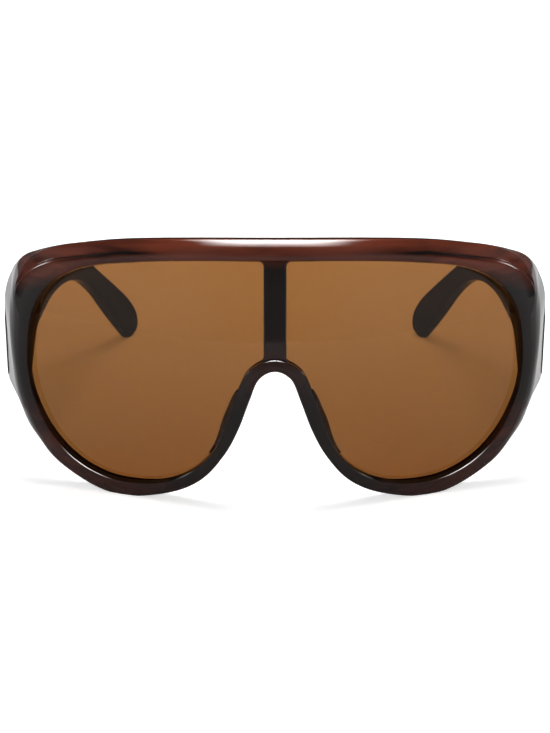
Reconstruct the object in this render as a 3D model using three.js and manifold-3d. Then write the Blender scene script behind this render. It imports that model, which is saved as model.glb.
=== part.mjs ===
// Oversized sunglasses, open and standing on a table, in millimetres.
// The front faces -Y, +X is right as seen from the front, +Z is up, and the table is z = 0.

import * as THREE from 'three';
import { mergeVertices } from 'three/addons/utils/BufferGeometryUtils.js';
import Module from 'manifold-3d';

const wasm = await Module();
wasm.setup();

// Whole sunglasses: the rim's and the temples' sections below stretch with these
const FRONT_WIDTH = 148;
const FRONT_HEIGHT = 74.5;
const TEMPLE_LENGTH = 117.9;

// Front surface: a sphere that the whole front and both lenses follow
const BASE_CURVE_RADIUS = 125;
const CURVE_CENTRE_HEIGHT = 37;
const FRONT_LEAN = THREE.MathUtils.degToRad(4);
const FOOT_FLAT_DEPTH = 0.25;

// Rim: heights are measured forward from the lens's front face
const RIM_FRONT = 2.2;
const RIM_REAR_LIP = 0.8;
const RIM_CROWN = 0.45;
const RIM_EDGE = 0.45;
const CREASE_RUN = 0.5;

// Sections of the right rim, from the middle of the brow round the outside to the middle of the bridge.
// Each has the opening's edge and the outline as x and z on the front surface, the crease's share of
// the way between them, the depth of the step there, the width of the rounded side and how far back
// it turns, and how far the lip behind the lens stands back from the opening's edge.
const RIM_SECTIONS = [
  { inner: [0, 68.3], outer: [0, 74.5], crease: 0.35, step: 0, side: 2.9, turn: 2.6, lip: 0 },
  { inner: [22, 67.95], outer: [22, 74.2], crease: 0.37, step: 0, side: 2.7, turn: 2.6, lip: 0.3 },
  { inner: [38.1, 66.85], outer: [40, 73.1], crease: 0.37, step: 0.3, side: 2.2, turn: 2.3, lip: 0.5 },
  { inner: [49.8, 65], outer: [53.5, 71], crease: 0.36, step: 0.9, side: 1.2, turn: 1.9, lip: 0.8 },
  { inner: [57.7, 61.7], outer: [64.2, 68.5], crease: 0.495, step: 1.1, side: 0.9, turn: 1.7, lip: 1.2 },
  { inner: [63.1, 56.9], outer: [72.7, 64.6], crease: 0.505, step: 1.1, side: 3.4, turn: 2.4, lip: 1.7 },
  { inner: [66.5, 50.4], outer: [74, 55.3], crease: 0.62, step: 0.1, side: 2.8, turn: 2.2, lip: 2.1 },
  { inner: [67.8, 42.6], outer: [73.7, 44.4], crease: 0.38, step: 0, side: 3.1, turn: 1.3, lip: 2.1 },
  { inner: [67.9, 34], outer: [73.1, 34.4], crease: 0.33, step: 0, side: 2.9, turn: 1.3, lip: 2.1 },
  { inner: [66.2, 26], outer: [72.7, 25.15], crease: 0.32, step: 0, side: 3.7, turn: 2, lip: 2.1 },
  { inner: [62, 17.2], outer: [69, 16.05], crease: 0.27, step: 0, side: 4.3, turn: 2.8, lip: 1.9 },
  { inner: [55.5, 10.3], outer: [60.8, 7.4], crease: 0.33, step: 0, side: 3.4, turn: 2.6, lip: 1.7 },
  { inner: [47, 6.1], outer: [50, 1.6], crease: 0.44, step: 0, side: 2.2, turn: 2.1, lip: 1.4 },
  { inner: [38, 5.2], outer: [39, 0.6], crease: 0.52, step: 0, side: 1.5, turn: 1.7, lip: 1.3 },
  { inner: [29.5, 6.6], outer: [28, 2.9], crease: 0.5, step: 0, side: 1.3, turn: 1.7, lip: 1.2 },
  { inner: [22.3, 10.4], outer: [19.8, 8.3], crease: 0.46, step: 0, side: 1.1, turn: 1.7, lip: 0.8 },
  { inner: [16.8, 16.3], outer: [13.5, 15.5], crease: 0.46, step: 0, side: 1.1, turn: 1.7, lip: 0.3 },
  { inner: [13.6, 23.4], outer: [9.7, 23], crease: 0.48, step: 0, side: 1.2, turn: 1.7, lip: 0 },
  { inner: [10.8, 31.6], outer: [6.7, 31.2], crease: 0.48, step: 0, side: 1.2, turn: 1.7, lip: 0 },
  { inner: [7.2, 39.3], outer: [4.2, 37.1], crease: 0.48, step: 0, side: 1.2, turn: 1.7, lip: 0 },
  { inner: [0, 42.7], outer: [0, 39.3], crease: 0.48, step: 0, side: 1.2, turn: 1.7, lip: 0 },
];
const STEPS_PER_SECTION = 3;

// How full the round between the face and the side is, as the share of it that the middle is cut in:
// less on the brow, between two heights of the outline, than on the sides
const SIDE_ROUND_SHARE = 0.3;
const BROW_ROUND_SHARE = 0.14;
const BROW_ROUND_FROM = 68;
const BROW_ROUND_FULL = 73;

// End pieces: the rim's side flares back to a seam that the temple closes on, with a sloping shoulder,
// and its top sweeps up into the rim's corner over a number of steps, keeping a share of the height there
const END_PIECE_FLARE = 3.9;
const END_PIECE_THICKNESS = 7.1;
const END_PIECE_TOP = 56.5;
const END_PIECE_BOTTOM = 24;
const SHOULDER_WIDTH = 2.4;
const SHOULDER_HEIGHT = 9;
const SWEEP_STEPS = 4;
const SWEEP_SHARE = 0.55;

// Bar between the two openings, set back from the brow
const BAR_HALF_WIDTH = 3.05;
const BAR_FRONT = 0.9;
const BAR_TOP_FILLET = 1.6;
const BAR_BOTTOM_FILLET = 0.9;
const BAR_ROOT = 1.4;
const FILLET_STEPS = 4;
const BAR_STEPS = 6;

// Lenses, sprung into grooves in the rims
const LENS_THICKNESS = 1.8;
const LENS_SEAT = 0.7;
const FIT_GAP = 0.3;
const LENS_RINGS = 3;
const LENS_CENTRE = [36, 40];
const GROOVE_MOUTH = 1.6;

// Nose pads, bonded behind the nose legs
const PAD_BELOW_BRIDGE = 10;
const PAD_LENGTH = 19;
const PAD_DEPTH = 6.2;
const PAD_OVERHANG = 1.5;
const PAD_EDGE_DEPTH = 0.7;
const PAD_MARGIN = 0.4;
const PAD_STEPS = 12;

// Temples: lower and upper edge in side view, as the distance behind the seam and the height,
// from the seam to the rounded ear tip
const TEMPLE_SECTIONS = [
  { lower: [FIT_GAP, END_PIECE_BOTTOM], upper: [FIT_GAP, END_PIECE_TOP] },
  { lower: [12.7, 33.5], upper: [14.5, 54.4] },
  { lower: [27, 34.6], upper: [30.5, 51.8] },
  { lower: [42.5, 34.5], upper: [46.5, 49.1] },
  { lower: [57.3, 34.6], upper: [61.5, 46.3] },
  { lower: [69.2, 33.5], upper: [75, 42.1] },
  { lower: [80, 30.1], upper: [86, 35.4] },
  { lower: [89.6, 23.2], upper: [96, 28.2] },
  { lower: [97.6, 14.6], upper: [104.7, 21.5] },
  { lower: [104.4, 7.1], upper: [111.9, 15.3] },
  { lower: [108.6, 2.6], upper: [116.5, 9.6] },
  { lower: [111.8, -FOOT_FLAT_DEPTH], upper: [117.9, 4.9] },
  { lower: [115.1, 0.9], upper: [117, 2.5] },
];
const TEMPLE_STEPS_PER_SECTION = 3;
const TEMPLE_PROUD = 0.5;
const TEMPLE_TIP_THICKNESS = 3;
const TEMPLE_TAPER_POWER = 0.6;
const TEMPLE_SHOULDER_END = 55;
const TEMPLE_EDGE_ROUND = 1.1;
const TEMPLE_BEND_START = 40.5;
const TEMPLE_BEND_END = 112.5;
const TEMPLE_BEND_INWARD = 18.5;
const TEMPLE_BEND_POWER = 1.75;

// Hinges: two knuckles on the front leaf, one between them on the temple leaf, set high on the seam
const HINGE_SHARE = 0.76;
const KNUCKLE_RADIUS = 1.7;
const KNUCKLE_LENGTH = 2.8;
const KNUCKLE_GAP = 0.3;
const PIN_RADIUS = 0.6;
const PIN_CLEARANCE = 0.25;
const PIN_HEAD_RADIUS = 1.4;
const PIN_HEAD_HEIGHT = 0.7;
const PIN_TAIL = 0.4;
const LEAF_THICKNESS = 1.2;
const LEAF_LENGTH = 6;
const LEAF_CORNER = 1;
const LEAF_CLEARANCE = 0.45;
const LEAF_END_ROOM = 3;
const FIXING_SPACING = 5.2;
const FIXING_FROM_END = 2.4;
const FIXING_RADIUS = 0.6;
const FIXING_CLEARANCE = 0.25;
const FIXING_HEAD_RADIUS = 1.15;
const FIXING_HEAD_HEIGHT = 0.6;
const FIXING_WALL = 3.85;
const ROUND_SIDES = 16;

// Sizes that follow from those above
const RIM_BACK = -LENS_THICKNESS - FIT_GAP - RIM_REAR_LIP;
const WIDE = FRONT_WIDTH / 2 / Math.max(...RIM_SECTIONS.map((section) => section.outer[0]));
const TALL = FRONT_HEIGHT / Math.max(...RIM_SECTIONS.map((section) => section.outer[1]));
const LONG = TEMPLE_LENGTH / Math.max(...TEMPLE_SECTIONS.map((section) => section.upper[0]));
const LENS_MIDDLE = new THREE.Vector2(LENS_CENTRE[0] * WIDE, LENS_CENTRE[1] * TALL);
const END_PIECE_OUTER_X = FRONT_WIDTH / 2 + END_PIECE_FLARE;
const END_PIECE_INNER_X = END_PIECE_OUTER_X - END_PIECE_THICKNESS;
const TEMPLE_FRONT_THICKNESS = END_PIECE_THICKNESS + TEMPLE_PROUD;
const LEAF_START = KNUCKLE_RADIUS + LEAF_CLEARANCE;
const KNUCKLE_PITCH = KNUCKLE_LENGTH + KNUCKLE_GAP;
const LEAF_HEIGHT = 3 * KNUCKLE_LENGTH + 2 * KNUCKLE_GAP;
const FIXING_Y = LEAF_START + LEAF_LENGTH - FIXING_FROM_END;
const FIXING_DEPTH = END_PIECE_THICKNESS - FIXING_CLEARANCE - FIXING_WALL;
const GROOVE_DEPTH = LENS_SEAT + FIT_GAP;

const X_AXIS = new THREE.Vector3(1, 0, 0);

const MATERIALS = {
  front: { color: 0x2e1710, roughness: 0.16, metalness: 0 },
  temple: { color: 0x2a1610, roughness: 0.2, metalness: 0 },
  pad: { color: 0x2b1812, roughness: 0.3, metalness: 0 },
  lens: { color: 0x8a5d38, roughness: 0.05, metalness: 0, transparent: true, opacity: 0.55 },
  hinge: { color: 0xb9b4aa, roughness: 0.32, metalness: 1 },
  screw: { color: 0xc9c5bd, roughness: 0.28, metalness: 1 },
};

// Solids and their booleans
function toManifold(geometry) {
  const bare = geometry.clone();
  bare.deleteAttribute('normal');
  bare.deleteAttribute('uv');
  const merged = mergeVertices(bare, 1e-5);
  const mesh = new wasm.Mesh({
    numProp: 3,
    vertProperties: new Float32Array(merged.attributes.position.array),
    triVerts: new Uint32Array(merged.index.array),
  });
  return new wasm.Manifold(mesh);
}

function toGeometry(manifold) {
  const mesh = manifold.getMesh();
  const geometry = new THREE.BufferGeometry();
  geometry.setAttribute('position', new THREE.BufferAttribute(mesh.vertProperties, 3));
  geometry.setIndex(new THREE.BufferAttribute(mesh.triVerts, 1));
  geometry.computeVertexNormals();
  return geometry;
}

function mirrored(geometry) {
  const copy = geometry.clone();
  copy.scale(-1, 1, 1);
  const index = copy.index.array;
  for (let i = 0; i < index.length; i += 3) {
    [index[i + 1], index[i + 2]] = [index[i + 2], index[i + 1]];
  }
  copy.computeVertexNormals();
  return copy;
}

function signedVolume(positions, index) {
  let sum = 0;
  for (let i = 0; i < index.length; i += 3) {
    const [a, b, c] = [positions[index[i]], positions[index[i + 1]], positions[index[i + 2]]];
    sum += a.dot(b.clone().cross(c)) / 6;
  }
  return sum;
}

// Skin through rings of points, closed round on itself or closed by a fan at each end
function loft(rings, { closed = false, centres = [] } = {}) {
  const sides = rings[0].length;
  const positions = rings.flat();
  const index = [];
  const spans = closed ? rings.length : rings.length - 1;
  for (let r = 0; r < spans; r += 1) {
    const here = r * sides;
    const next = ((r + 1) % rings.length) * sides;
    for (let s = 0; s < sides; s += 1) {
      const t = (s + 1) % sides;
      index.push(here + s, here + t, next + t, here + s, next + t, next + s);
    }
  }
  if (!closed) {
    const ends = [rings[0], rings[rings.length - 1]];
    ends.forEach((ring, end) => {
      const middle = new THREE.Vector3();
      ring.forEach((point) => middle.addScaledVector(point, 1 / sides));
      const centre = positions.push(centres[end] ?? middle) - 1;
      const start = end === 0 ? 0 : (rings.length - 1) * sides;
      for (let s = 0; s < sides; s += 1) {
        const t = (s + 1) % sides;
        index.push(centre, ...(end === 0 ? [start + t, start + s] : [start + s, start + t]));
      }
    });
  }
  if (signedVolume(positions, index) < 0) {
    index.reverse();
  }
  const geometry = new THREE.BufferGeometry().setFromPoints(positions);
  geometry.setIndex(index);
  geometry.computeVertexNormals();
  return geometry;
}

// Smooth run through one size of a list of sections. Past its ends the run goes straight on, unless
// it is mirrored there: 1 where the size stays the same on the other side, -1 where its sign turns.
function along(values, place, mirror) {
  const last = values.length - 1;
  const i = Math.min(Math.floor(place), last - 1);
  const f = place - i;
  const beyond = (end, inside) => (mirror ? mirror * inside : 2 * end - inside);
  const before = i > 0 ? values[i - 1] : beyond(values[0], values[1]);
  const after = i + 2 <= last ? values[i + 2] : beyond(values[last], values[last - 1]);
  const start = (values[i + 1] - before) / 2;
  const end = (after - values[i]) / 2;
  const a = 2 * values[i] - 2 * values[i + 1] + start + end;
  const b = -3 * values[i] + 3 * values[i + 1] - 2 * start - end;
  return ((a * f + b) * f + start) * f + values[i];
}

const INNER_X = RIM_SECTIONS.map((section) => section.inner[0] * WIDE);
const INNER_Z = RIM_SECTIONS.map((section) => section.inner[1] * TALL);
const OUTER_X = RIM_SECTIONS.map((section) => section.outer[0] * WIDE);
const OUTER_Z = RIM_SECTIONS.map((section) => section.outer[1] * TALL);
const CREASE = RIM_SECTIONS.map((section) => section.crease);
const STEP = RIM_SECTIONS.map((section) => section.step);
const SIDE = RIM_SECTIONS.map((section) => section.side);
const TURN = RIM_SECTIONS.map((section) => section.turn);
const LIP = RIM_SECTIONS.map((section) => section.lip);
const LAST_SECTION = RIM_SECTIONS.length - 1;
const LOWEST_SECTION = OUTER_Z.indexOf(Math.min(...OUTER_Z));

function rimAt(place) {
  const inner = new THREE.Vector2(along(INNER_X, place, -1), along(INNER_Z, place, 1));
  const outer = new THREE.Vector2(along(OUTER_X, place, -1), along(OUTER_Z, place, 1));
  const width = inner.distanceTo(outer);
  const across = outer.clone().sub(inner).divideScalar(width);
  const crease = along(CREASE, place, 1) * width;
  const [step, side, turn, lip] = [STEP, SIDE, TURN, LIP].map((size) => along(size, place, 1));
  return { inner, outer, width, across, crease, step, side, turn, lip };
}

// The place between two sections where one of the rim's measures reaches a value
function placeWhere(measure, value, from, to) {
  let [low, high] = [from, to];
  const below = measure(from) < value;
  for (let i = 0; i < 40; i += 1) {
    const middle = (low + high) / 2;
    if ((measure(middle) < value) === below) {
      low = middle;
    } else {
      high = middle;
    }
  }
  return low;
}

const innerAcross = (place) => rimAt(place).inner.x;
const innerHeight = (place) => rimAt(place).inner.y;
const outerHeight = (place) => rimAt(place).outer.y;

// A point on the front: x and z on its surface, then how far forward of it
function onCurve(x, z, forward) {
  const point = new THREE.Vector3(x, 0, z - CURVE_CENTRE_HEIGHT).divideScalar(BASE_CURVE_RADIUS);
  point.y = -Math.sqrt(1 - point.x ** 2 - point.z ** 2);
  point.multiplyScalar(BASE_CURVE_RADIUS + forward);
  point.y += BASE_CURVE_RADIUS;
  point.z += CURVE_CENTRE_HEIGHT;
  return point.applyAxisAngle(X_AXIS, -FRONT_LEAN);
}

// The lowest place of the two rims stands on the table, worn flat by a little
const frontLift = (() => {
  let lowest = Infinity;
  for (let i = 0; i <= LAST_SECTION * STEPS_PER_SECTION; i += 1) {
    const { outer } = rimAt(i / STEPS_PER_SECTION);
    lowest = Math.min(lowest, onCurve(outer.x, outer.y, 0).z);
  }
  return -lowest - FOOT_FLAT_DEPTH;
})();

function onFront(x, z, forward) {
  const point = onCurve(x, z, forward);
  point.z += frontLift;
  return point;
}

// The end pieces start and stop at the rim's stations nearest their heights
const stationAtHeight = (height) =>
  Math.round(placeWhere(outerHeight, height, 0, LOWEST_SECTION) * STEPS_PER_SECTION) / STEPS_PER_SECTION;
const END_PIECE_FIRST = stationAtHeight(END_PIECE_TOP);
const END_PIECE_LAST = stationAtHeight(END_PIECE_BOTTOM);
const END_PIECE_RISE = SWEEP_STEPS / STEPS_PER_SECTION;
const END_PIECE_FALL = 1 / STEPS_PER_SECTION;

// Where an end piece's inner face leaves the back of the rim
function endPieceRoot(place) {
  const { inner, width, across } = rimAt(place);
  const x = END_PIECE_INNER_X * BASE_CURVE_RADIUS / (BASE_CURVE_RADIUS + RIM_BACK);
  const distance = across.x > 0 ? (x - inner.x) / across.x : width / 2;
  return THREE.MathUtils.lerp(width / 2, distance, endPieceShare(place));
}

function rimBackAt(place, distance) {
  const { inner, across } = rimAt(place);
  const spot = inner.addScaledVector(across, distance);
  return onFront(spot.x, spot.y, RIM_BACK);
}

// The seam lies behind the rim by the length that the hinge's front leaf needs
const HINGE_HEIGHT = THREE.MathUtils.lerp(END_PIECE_BOTTOM, END_PIECE_TOP, HINGE_SHARE);
const HINGE_PLACE = placeWhere(outerHeight, HINGE_HEIGHT, 0, LOWEST_SECTION);
const HINGE_X = END_PIECE_INNER_X - FIT_GAP - KNUCKLE_RADIUS;
const SEAM_Y = rimBackAt(HINGE_PLACE, endPieceRoot(HINGE_PLACE)).y + LEAF_START + LEAF_LENGTH + LEAF_END_ROOM;
const HINGE_Y = SEAM_Y + FIT_GAP / 2;

// How far the side runs back as an end piece: 0 on the plain rim, 1 along the seam
function endPieceShare(place) {
  const rise = (place - END_PIECE_FIRST + END_PIECE_RISE) / END_PIECE_RISE;
  const fall = (END_PIECE_LAST + END_PIECE_FALL - place) / END_PIECE_FALL;
  return THREE.MathUtils.smoothstep(Math.min(rise, fall), 0, 1);
}

function rimSection(place) {
  const { inner, outer, width, across, crease, step, side, turn, lip } = rimAt(place);
  const at = (distance, forward) => {
    const spot = inner.clone().addScaledVector(across, distance);
    return onFront(spot.x, spot.y, forward);
  };
  const crown = RIM_FRONT + RIM_CROWN;
  const facet = RIM_FRONT - step;
  const share = endPieceShare(place);
  const brow = THREE.MathUtils.smoothstep(outer.y, BROW_ROUND_FROM, BROW_ROUND_FULL);
  const cutIn = THREE.MathUtils.lerp(SIDE_ROUND_SHARE, BROW_ROUND_SHARE, brow);
  const span = END_PIECE_LAST - END_PIECE_FIRST;
  const down = THREE.MathUtils.clamp((place - END_PIECE_FIRST) / span, 0, 1);
  const seamHeight = THREE.MathUtils.lerp(END_PIECE_TOP, END_PIECE_BOTTOM, down);
  const drawnIn = SHOULDER_WIDTH * Math.max(0, 1 - (END_PIECE_TOP - seamHeight) / SHOULDER_HEIGHT);
  const swept = seamHeight + SWEEP_SHARE * Math.max(outer.y - END_PIECE_TOP, 0);
  const seamOuter = new THREE.Vector3(END_PIECE_OUTER_X - drawnIn, SEAM_Y, swept);
  const seamInner = new THREE.Vector3(END_PIECE_INNER_X, SEAM_Y, swept);
  return [
    at(lip, RIM_BACK + RIM_EDGE),
    at(0, -FIT_GAP),
    at(0, RIM_FRONT - RIM_EDGE),
    at(RIM_EDGE, RIM_FRONT),
    at(crease * 0.55, crown),
    at(crease, crown - RIM_CROWN / 2),
    at(crease + CREASE_RUN, Math.min(crown - RIM_CROWN / 2, facet + RIM_CROWN / 2)),
    at(width - side, facet),
    at(width - side * cutIn, facet - turn * cutIn),
    at(width, facet - turn),
    at(width, RIM_BACK + RIM_EDGE).lerp(seamOuter, share),
    at(width - RIM_EDGE, RIM_BACK).lerp(seamInner, share),
    at(endPieceRoot(place), RIM_BACK),
    at(lip + RIM_EDGE, RIM_BACK),
  ];
}

function rimLoop() {
  const steps = LAST_SECTION * STEPS_PER_SECTION;
  const right = [];
  for (let i = 0; i <= steps; i += 1) {
    right.push(rimSection(i / STEPS_PER_SECTION));
  }
  const flip = (ring) => ring.map((point) => new THREE.Vector3(-point.x, point.y, point.z));
  const left = right.slice(1, steps).reverse().map(flip);
  return loft([...right, ...left], { closed: true });
}

// Opening round one lens: the rim's inner edge, closed along the bar with a fillet at each end, and
// how far the lip stands back at each of its points
function filletPoints(from, corner, to) {
  const curve = new THREE.QuadraticBezierCurve(from, corner, to);
  return curve.getPoints(FILLET_STEPS);
}

function openingOutline() {
  const first = placeWhere(innerAcross, BAR_HALF_WIDTH + BAR_TOP_FILLET, 0, 1);
  const final = placeWhere(innerAcross, BAR_HALF_WIDTH + BAR_BOTTOM_FILLET, LAST_SECTION - 1, LAST_SECTION);
  const top = rimAt(first).inner;
  const bottom = rimAt(final).inner;
  const barTop = new THREE.Vector2(BAR_HALF_WIDTH, top.y - BAR_TOP_FILLET);
  const barBottom = new THREE.Vector2(BAR_HALF_WIDTH, bottom.y + BAR_BOTTOM_FILLET * 1.6);
  const points = [top];
  const lips = [0];
  for (let i = Math.ceil(first * STEPS_PER_SECTION) + 1; i < final * STEPS_PER_SECTION - 0.5; i += 1) {
    const { inner, lip } = rimAt(i / STEPS_PER_SECTION);
    points.push(inner);
    lips.push(lip);
  }
  const lowerCorner = new THREE.Vector2(BAR_HALF_WIDTH, bottom.y + BAR_BOTTOM_FILLET / 2);
  const upperCorner = new THREE.Vector2(BAR_HALF_WIDTH, top.y);
  points.push(...filletPoints(bottom, lowerCorner, barBottom));
  for (let i = 1; i < BAR_STEPS; i += 1) {
    points.push(barBottom.clone().lerp(barTop, i / BAR_STEPS));
  }
  points.push(...filletPoints(barTop, upperCorner, top).slice(0, -1));
  return { points, lips };
}

// The opening grown past its lip by a distance
function grown({ points, lips }, distance) {
  return points.map((point, i) => {
    const before = points[(i + points.length - 1) % points.length];
    const after = points[(i + 1) % points.length];
    const run = after.clone().sub(before).normalize();
    const out = (lips[i] ?? 0) + distance;
    return new THREE.Vector2(point.x - run.y * out, point.y + run.x * out);
  });
}

function towardsCentre(outline, share) {
  return outline.map((point) => point.clone().lerp(LENS_MIDDLE, share));
}

function ringAt(outline, forward) {
  return outline.map((point) => onFront(point.x, point.y, forward));
}

function lensBody(opening) {
  const edge = grown(opening, LENS_SEAT);
  const front = [];
  const back = [];
  for (let i = LENS_RINGS; i > 0; i -= 1) {
    const ring = towardsCentre(edge, 1 - i / LENS_RINGS);
    front.unshift(ringAt(ring, 0));
    back.push(ringAt(ring, -LENS_THICKNESS));
  }
  const { x, y } = LENS_MIDDLE;
  const centres = [onFront(x, y, 0), onFront(x, y, -LENS_THICKNESS)];
  return loft([...front, ...back], { centres });
}

function grooveCutter(opening) {
  const floor = grown(opening, GROOVE_DEPTH);
  const reach = opening.points[0].distanceTo(LENS_MIDDLE);
  const mouth = towardsCentre(opening.points, GROOVE_MOUTH / reach);
  const [front, back] = [FIT_GAP, -LENS_THICKNESS - FIT_GAP];
  const bands = [ringAt(floor, front), ringAt(floor, back), ringAt(mouth, back), ringAt(mouth, front)];
  const rings = floor.map((_, i) => bands.map((band) => band[i]));
  return loft(rings, { closed: true });
}

// Bar: its sides are the two openings' edges, so it widens into the brow and the bridge
function barBody(opening) {
  const side = opening.points.filter((point) => point.x <= BAR_HALF_WIDTH + BAR_TOP_FILLET + 1e-6);
  side.sort((a, b) => a.y - b.y);
  const lowest = side[0].clone().setY(side[0].y - BAR_ROOT);
  const highest = side[side.length - 1].clone().setY(side[side.length - 1].y + BAR_ROOT);
  const rings = [lowest, ...side, highest].map(({ x, y }) => [
    onFront(-x, y, BAR_FRONT - RIM_EDGE),
    onFront(-x + RIM_EDGE, y, BAR_FRONT),
    onFront(x - RIM_EDGE, y, BAR_FRONT),
    onFront(x, y, BAR_FRONT - RIM_EDGE),
    onFront(x, y, RIM_BACK + RIM_EDGE),
    onFront(-x, y, RIM_BACK + RIM_EDGE),
  ]);
  return loft(rings);
}

// Nose pad: a rounded ridge along the back of a nose leg, leaning out over the lens
function padBody() {
  const rings = [];
  const top = innerHeight(LAST_SECTION) - PAD_BELOW_BRIDGE;
  const lowEnd = placeWhere(innerHeight, top - PAD_LENGTH, LOWEST_SECTION, LAST_SECTION);
  const highEnd = placeWhere(innerHeight, top, LOWEST_SECTION, LAST_SECTION);
  for (let i = 0; i <= PAD_STEPS; i += 1) {
    const share = i / PAD_STEPS;
    const place = THREE.MathUtils.lerp(lowEnd, highEnd, share);
    const { inner, width, across } = rimAt(place);
    const swell = Math.sqrt(Math.sin(Math.PI * THREE.MathUtils.lerp(0.03, 0.97, share)));
    const depth = PAD_EDGE_DEPTH + (PAD_DEPTH - PAD_EDGE_DEPTH) * swell;
    const lean = PAD_OVERHANG * swell;
    const base = RIM_BACK - FIT_GAP;
    const at = (distance, back) => {
      const spot = inner.clone().addScaledVector(across, distance);
      return onFront(spot.x, spot.y, base - back);
    };
    rings.push([
      at(PAD_MARGIN, 0),
      at(width - PAD_MARGIN, 0),
      at(width - PAD_MARGIN, depth * 0.2),
      at(width * 0.6 - lean * 0.3, depth * 0.7),
      at(width * 0.25 - lean * 0.7, depth),
      at(-lean * 0.9, depth),
      at(-lean, depth * 0.75),
      at(PAD_MARGIN - lean * 0.5, depth * 0.35),
    ]);
  }
  return loft(rings);
}

// Temple: the blade's edges in side view, bent inwards in plan towards the ear tip
function templeInnerX(behind) {
  const run = Math.max(behind - TEMPLE_BEND_START, 0) / (TEMPLE_BEND_END - TEMPLE_BEND_START);
  return END_PIECE_INNER_X - TEMPLE_BEND_INWARD * run ** TEMPLE_BEND_POWER;
}

function templeBody() {
  const behind = (edge) => TEMPLE_SECTIONS.map((section, i) => section[edge][0] * (i > 0 ? LONG : 1));
  const height = (edge) => TEMPLE_SECTIONS.map((section) => section[edge][1]);
  const [lowerY, lowerZ] = [behind('lower'), height('lower')];
  const [upperY, upperZ] = [behind('upper'), height('upper')];
  const last = TEMPLE_SECTIONS.length - 1;
  const rings = [];
  for (let i = 0; i <= last * TEMPLE_STEPS_PER_SECTION; i += 1) {
    const place = i / TEMPLE_STEPS_PER_SECTION;
    const lower = new THREE.Vector2(along(lowerY, place), along(lowerZ, place));
    const upper = new THREE.Vector2(along(upperY, place), along(upperZ, place));
    const tall = lower.distanceTo(upper);
    const thinned = (place / last) ** TEMPLE_TAPER_POWER;
    const thickness = THREE.MathUtils.lerp(TEMPLE_FRONT_THICKNESS, TEMPLE_TIP_THICKNESS, thinned);
    const round = Math.min(TEMPLE_EDGE_ROUND, tall / 3);
    const faded = Math.min(upper.x / TEMPLE_SHOULDER_END, 1);
    const shoulderWidth = THREE.MathUtils.lerp(SHOULDER_WIDTH, round, faded);
    const shoulderHeight = THREE.MathUtils.lerp(SHOULDER_HEIGHT, round, faded);
    const at = (out, up) => {
      const spot = lower.clone().lerp(upper, up / tall);
      return new THREE.Vector3(templeInnerX(spot.x) + out, SEAM_Y + spot.x, spot.y);
    };
    rings.push([
      at(round, 0),
      at(thickness - round, 0),
      at(thickness, round),
      at(thickness, tall - shoulderHeight),
      at(thickness - shoulderWidth, tall),
      at(round, tall),
      at(0, tall - round),
      at(0, round),
    ]);
  }
  return loft(rings);
}

// Hinge pieces, drawn about the pin's middle with the pin along z
function roundBar(radius, length, bottom) {
  const geometry = new THREE.CylinderGeometry(radius, radius, length, ROUND_SIDES);
  geometry.rotateX(Math.PI / 2);
  geometry.translate(0, 0, bottom + length / 2);
  return geometry;
}

function leafPlate(direction) {
  const half = LEAF_HEIGHT / 2;
  const shape = new THREE.Shape();
  shape.moveTo(0, -half);
  shape.lineTo(LEAF_LENGTH - LEAF_CORNER, -half);
  shape.quadraticCurveTo(LEAF_LENGTH, -half, LEAF_LENGTH, LEAF_CORNER - half);
  shape.lineTo(LEAF_LENGTH, half - LEAF_CORNER);
  shape.quadraticCurveTo(LEAF_LENGTH, half, LEAF_LENGTH - LEAF_CORNER, half);
  shape.lineTo(0, half);
  const options = { depth: LEAF_THICKNESS, bevelEnabled: false, curveSegments: FILLET_STEPS };
  const plate = new THREE.ExtrudeGeometry(shape, options);
  plate.rotateX(Math.PI / 2);
  plate.rotateZ(direction * Math.PI / 2);
  const shift = direction > 0 ? KNUCKLE_RADIUS - LEAF_THICKNESS : KNUCKLE_RADIUS;
  plate.computeBoundingBox();
  plate.translate(shift - (direction > 0 ? plate.boundingBox.min.x : plate.boundingBox.max.x), 0, 0);
  plate.translate(0, direction * LEAF_START, 0);
  return plate;
}

function fixingPlaces(direction) {
  return [-1, 1].map((end) => [direction * FIXING_Y, end * FIXING_SPACING / 2]);
}

function fixingHole(y, z, radius, from, to) {
  const hole = new THREE.CylinderGeometry(radius, radius, to - from, ROUND_SIDES);
  hole.rotateZ(Math.PI / 2);
  hole.translate((from + to) / 2, y, z);
  return hole;
}

function hingeLeaf(direction, knuckles) {
  let leaf = toManifold(leafPlate(direction));
  for (const level of knuckles) {
    const bottom = level * KNUCKLE_PITCH - KNUCKLE_LENGTH / 2;
    leaf = leaf.add(toManifold(roundBar(KNUCKLE_RADIUS, KNUCKLE_LENGTH, bottom)));
    const tongue = new THREE.BoxGeometry(LEAF_THICKNESS, LEAF_START + 1, KNUCKLE_LENGTH);
    const x = KNUCKLE_RADIUS - LEAF_THICKNESS / 2;
    tongue.translate(x, direction * (LEAF_START + 1) / 2, level * KNUCKLE_PITCH);
    leaf = leaf.add(toManifold(tongue));
  }
  const bore = roundBar(PIN_RADIUS + PIN_CLEARANCE, 2 * LEAF_HEIGHT, -LEAF_HEIGHT);
  leaf = leaf.subtract(toManifold(bore));
  for (const [y, z] of fixingPlaces(direction)) {
    const hole = fixingHole(y, z, FIXING_RADIUS + FIXING_CLEARANCE, 0, 2 * KNUCKLE_RADIUS);
    leaf = leaf.subtract(toManifold(hole));
  }
  return toGeometry(leaf);
}

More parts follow.
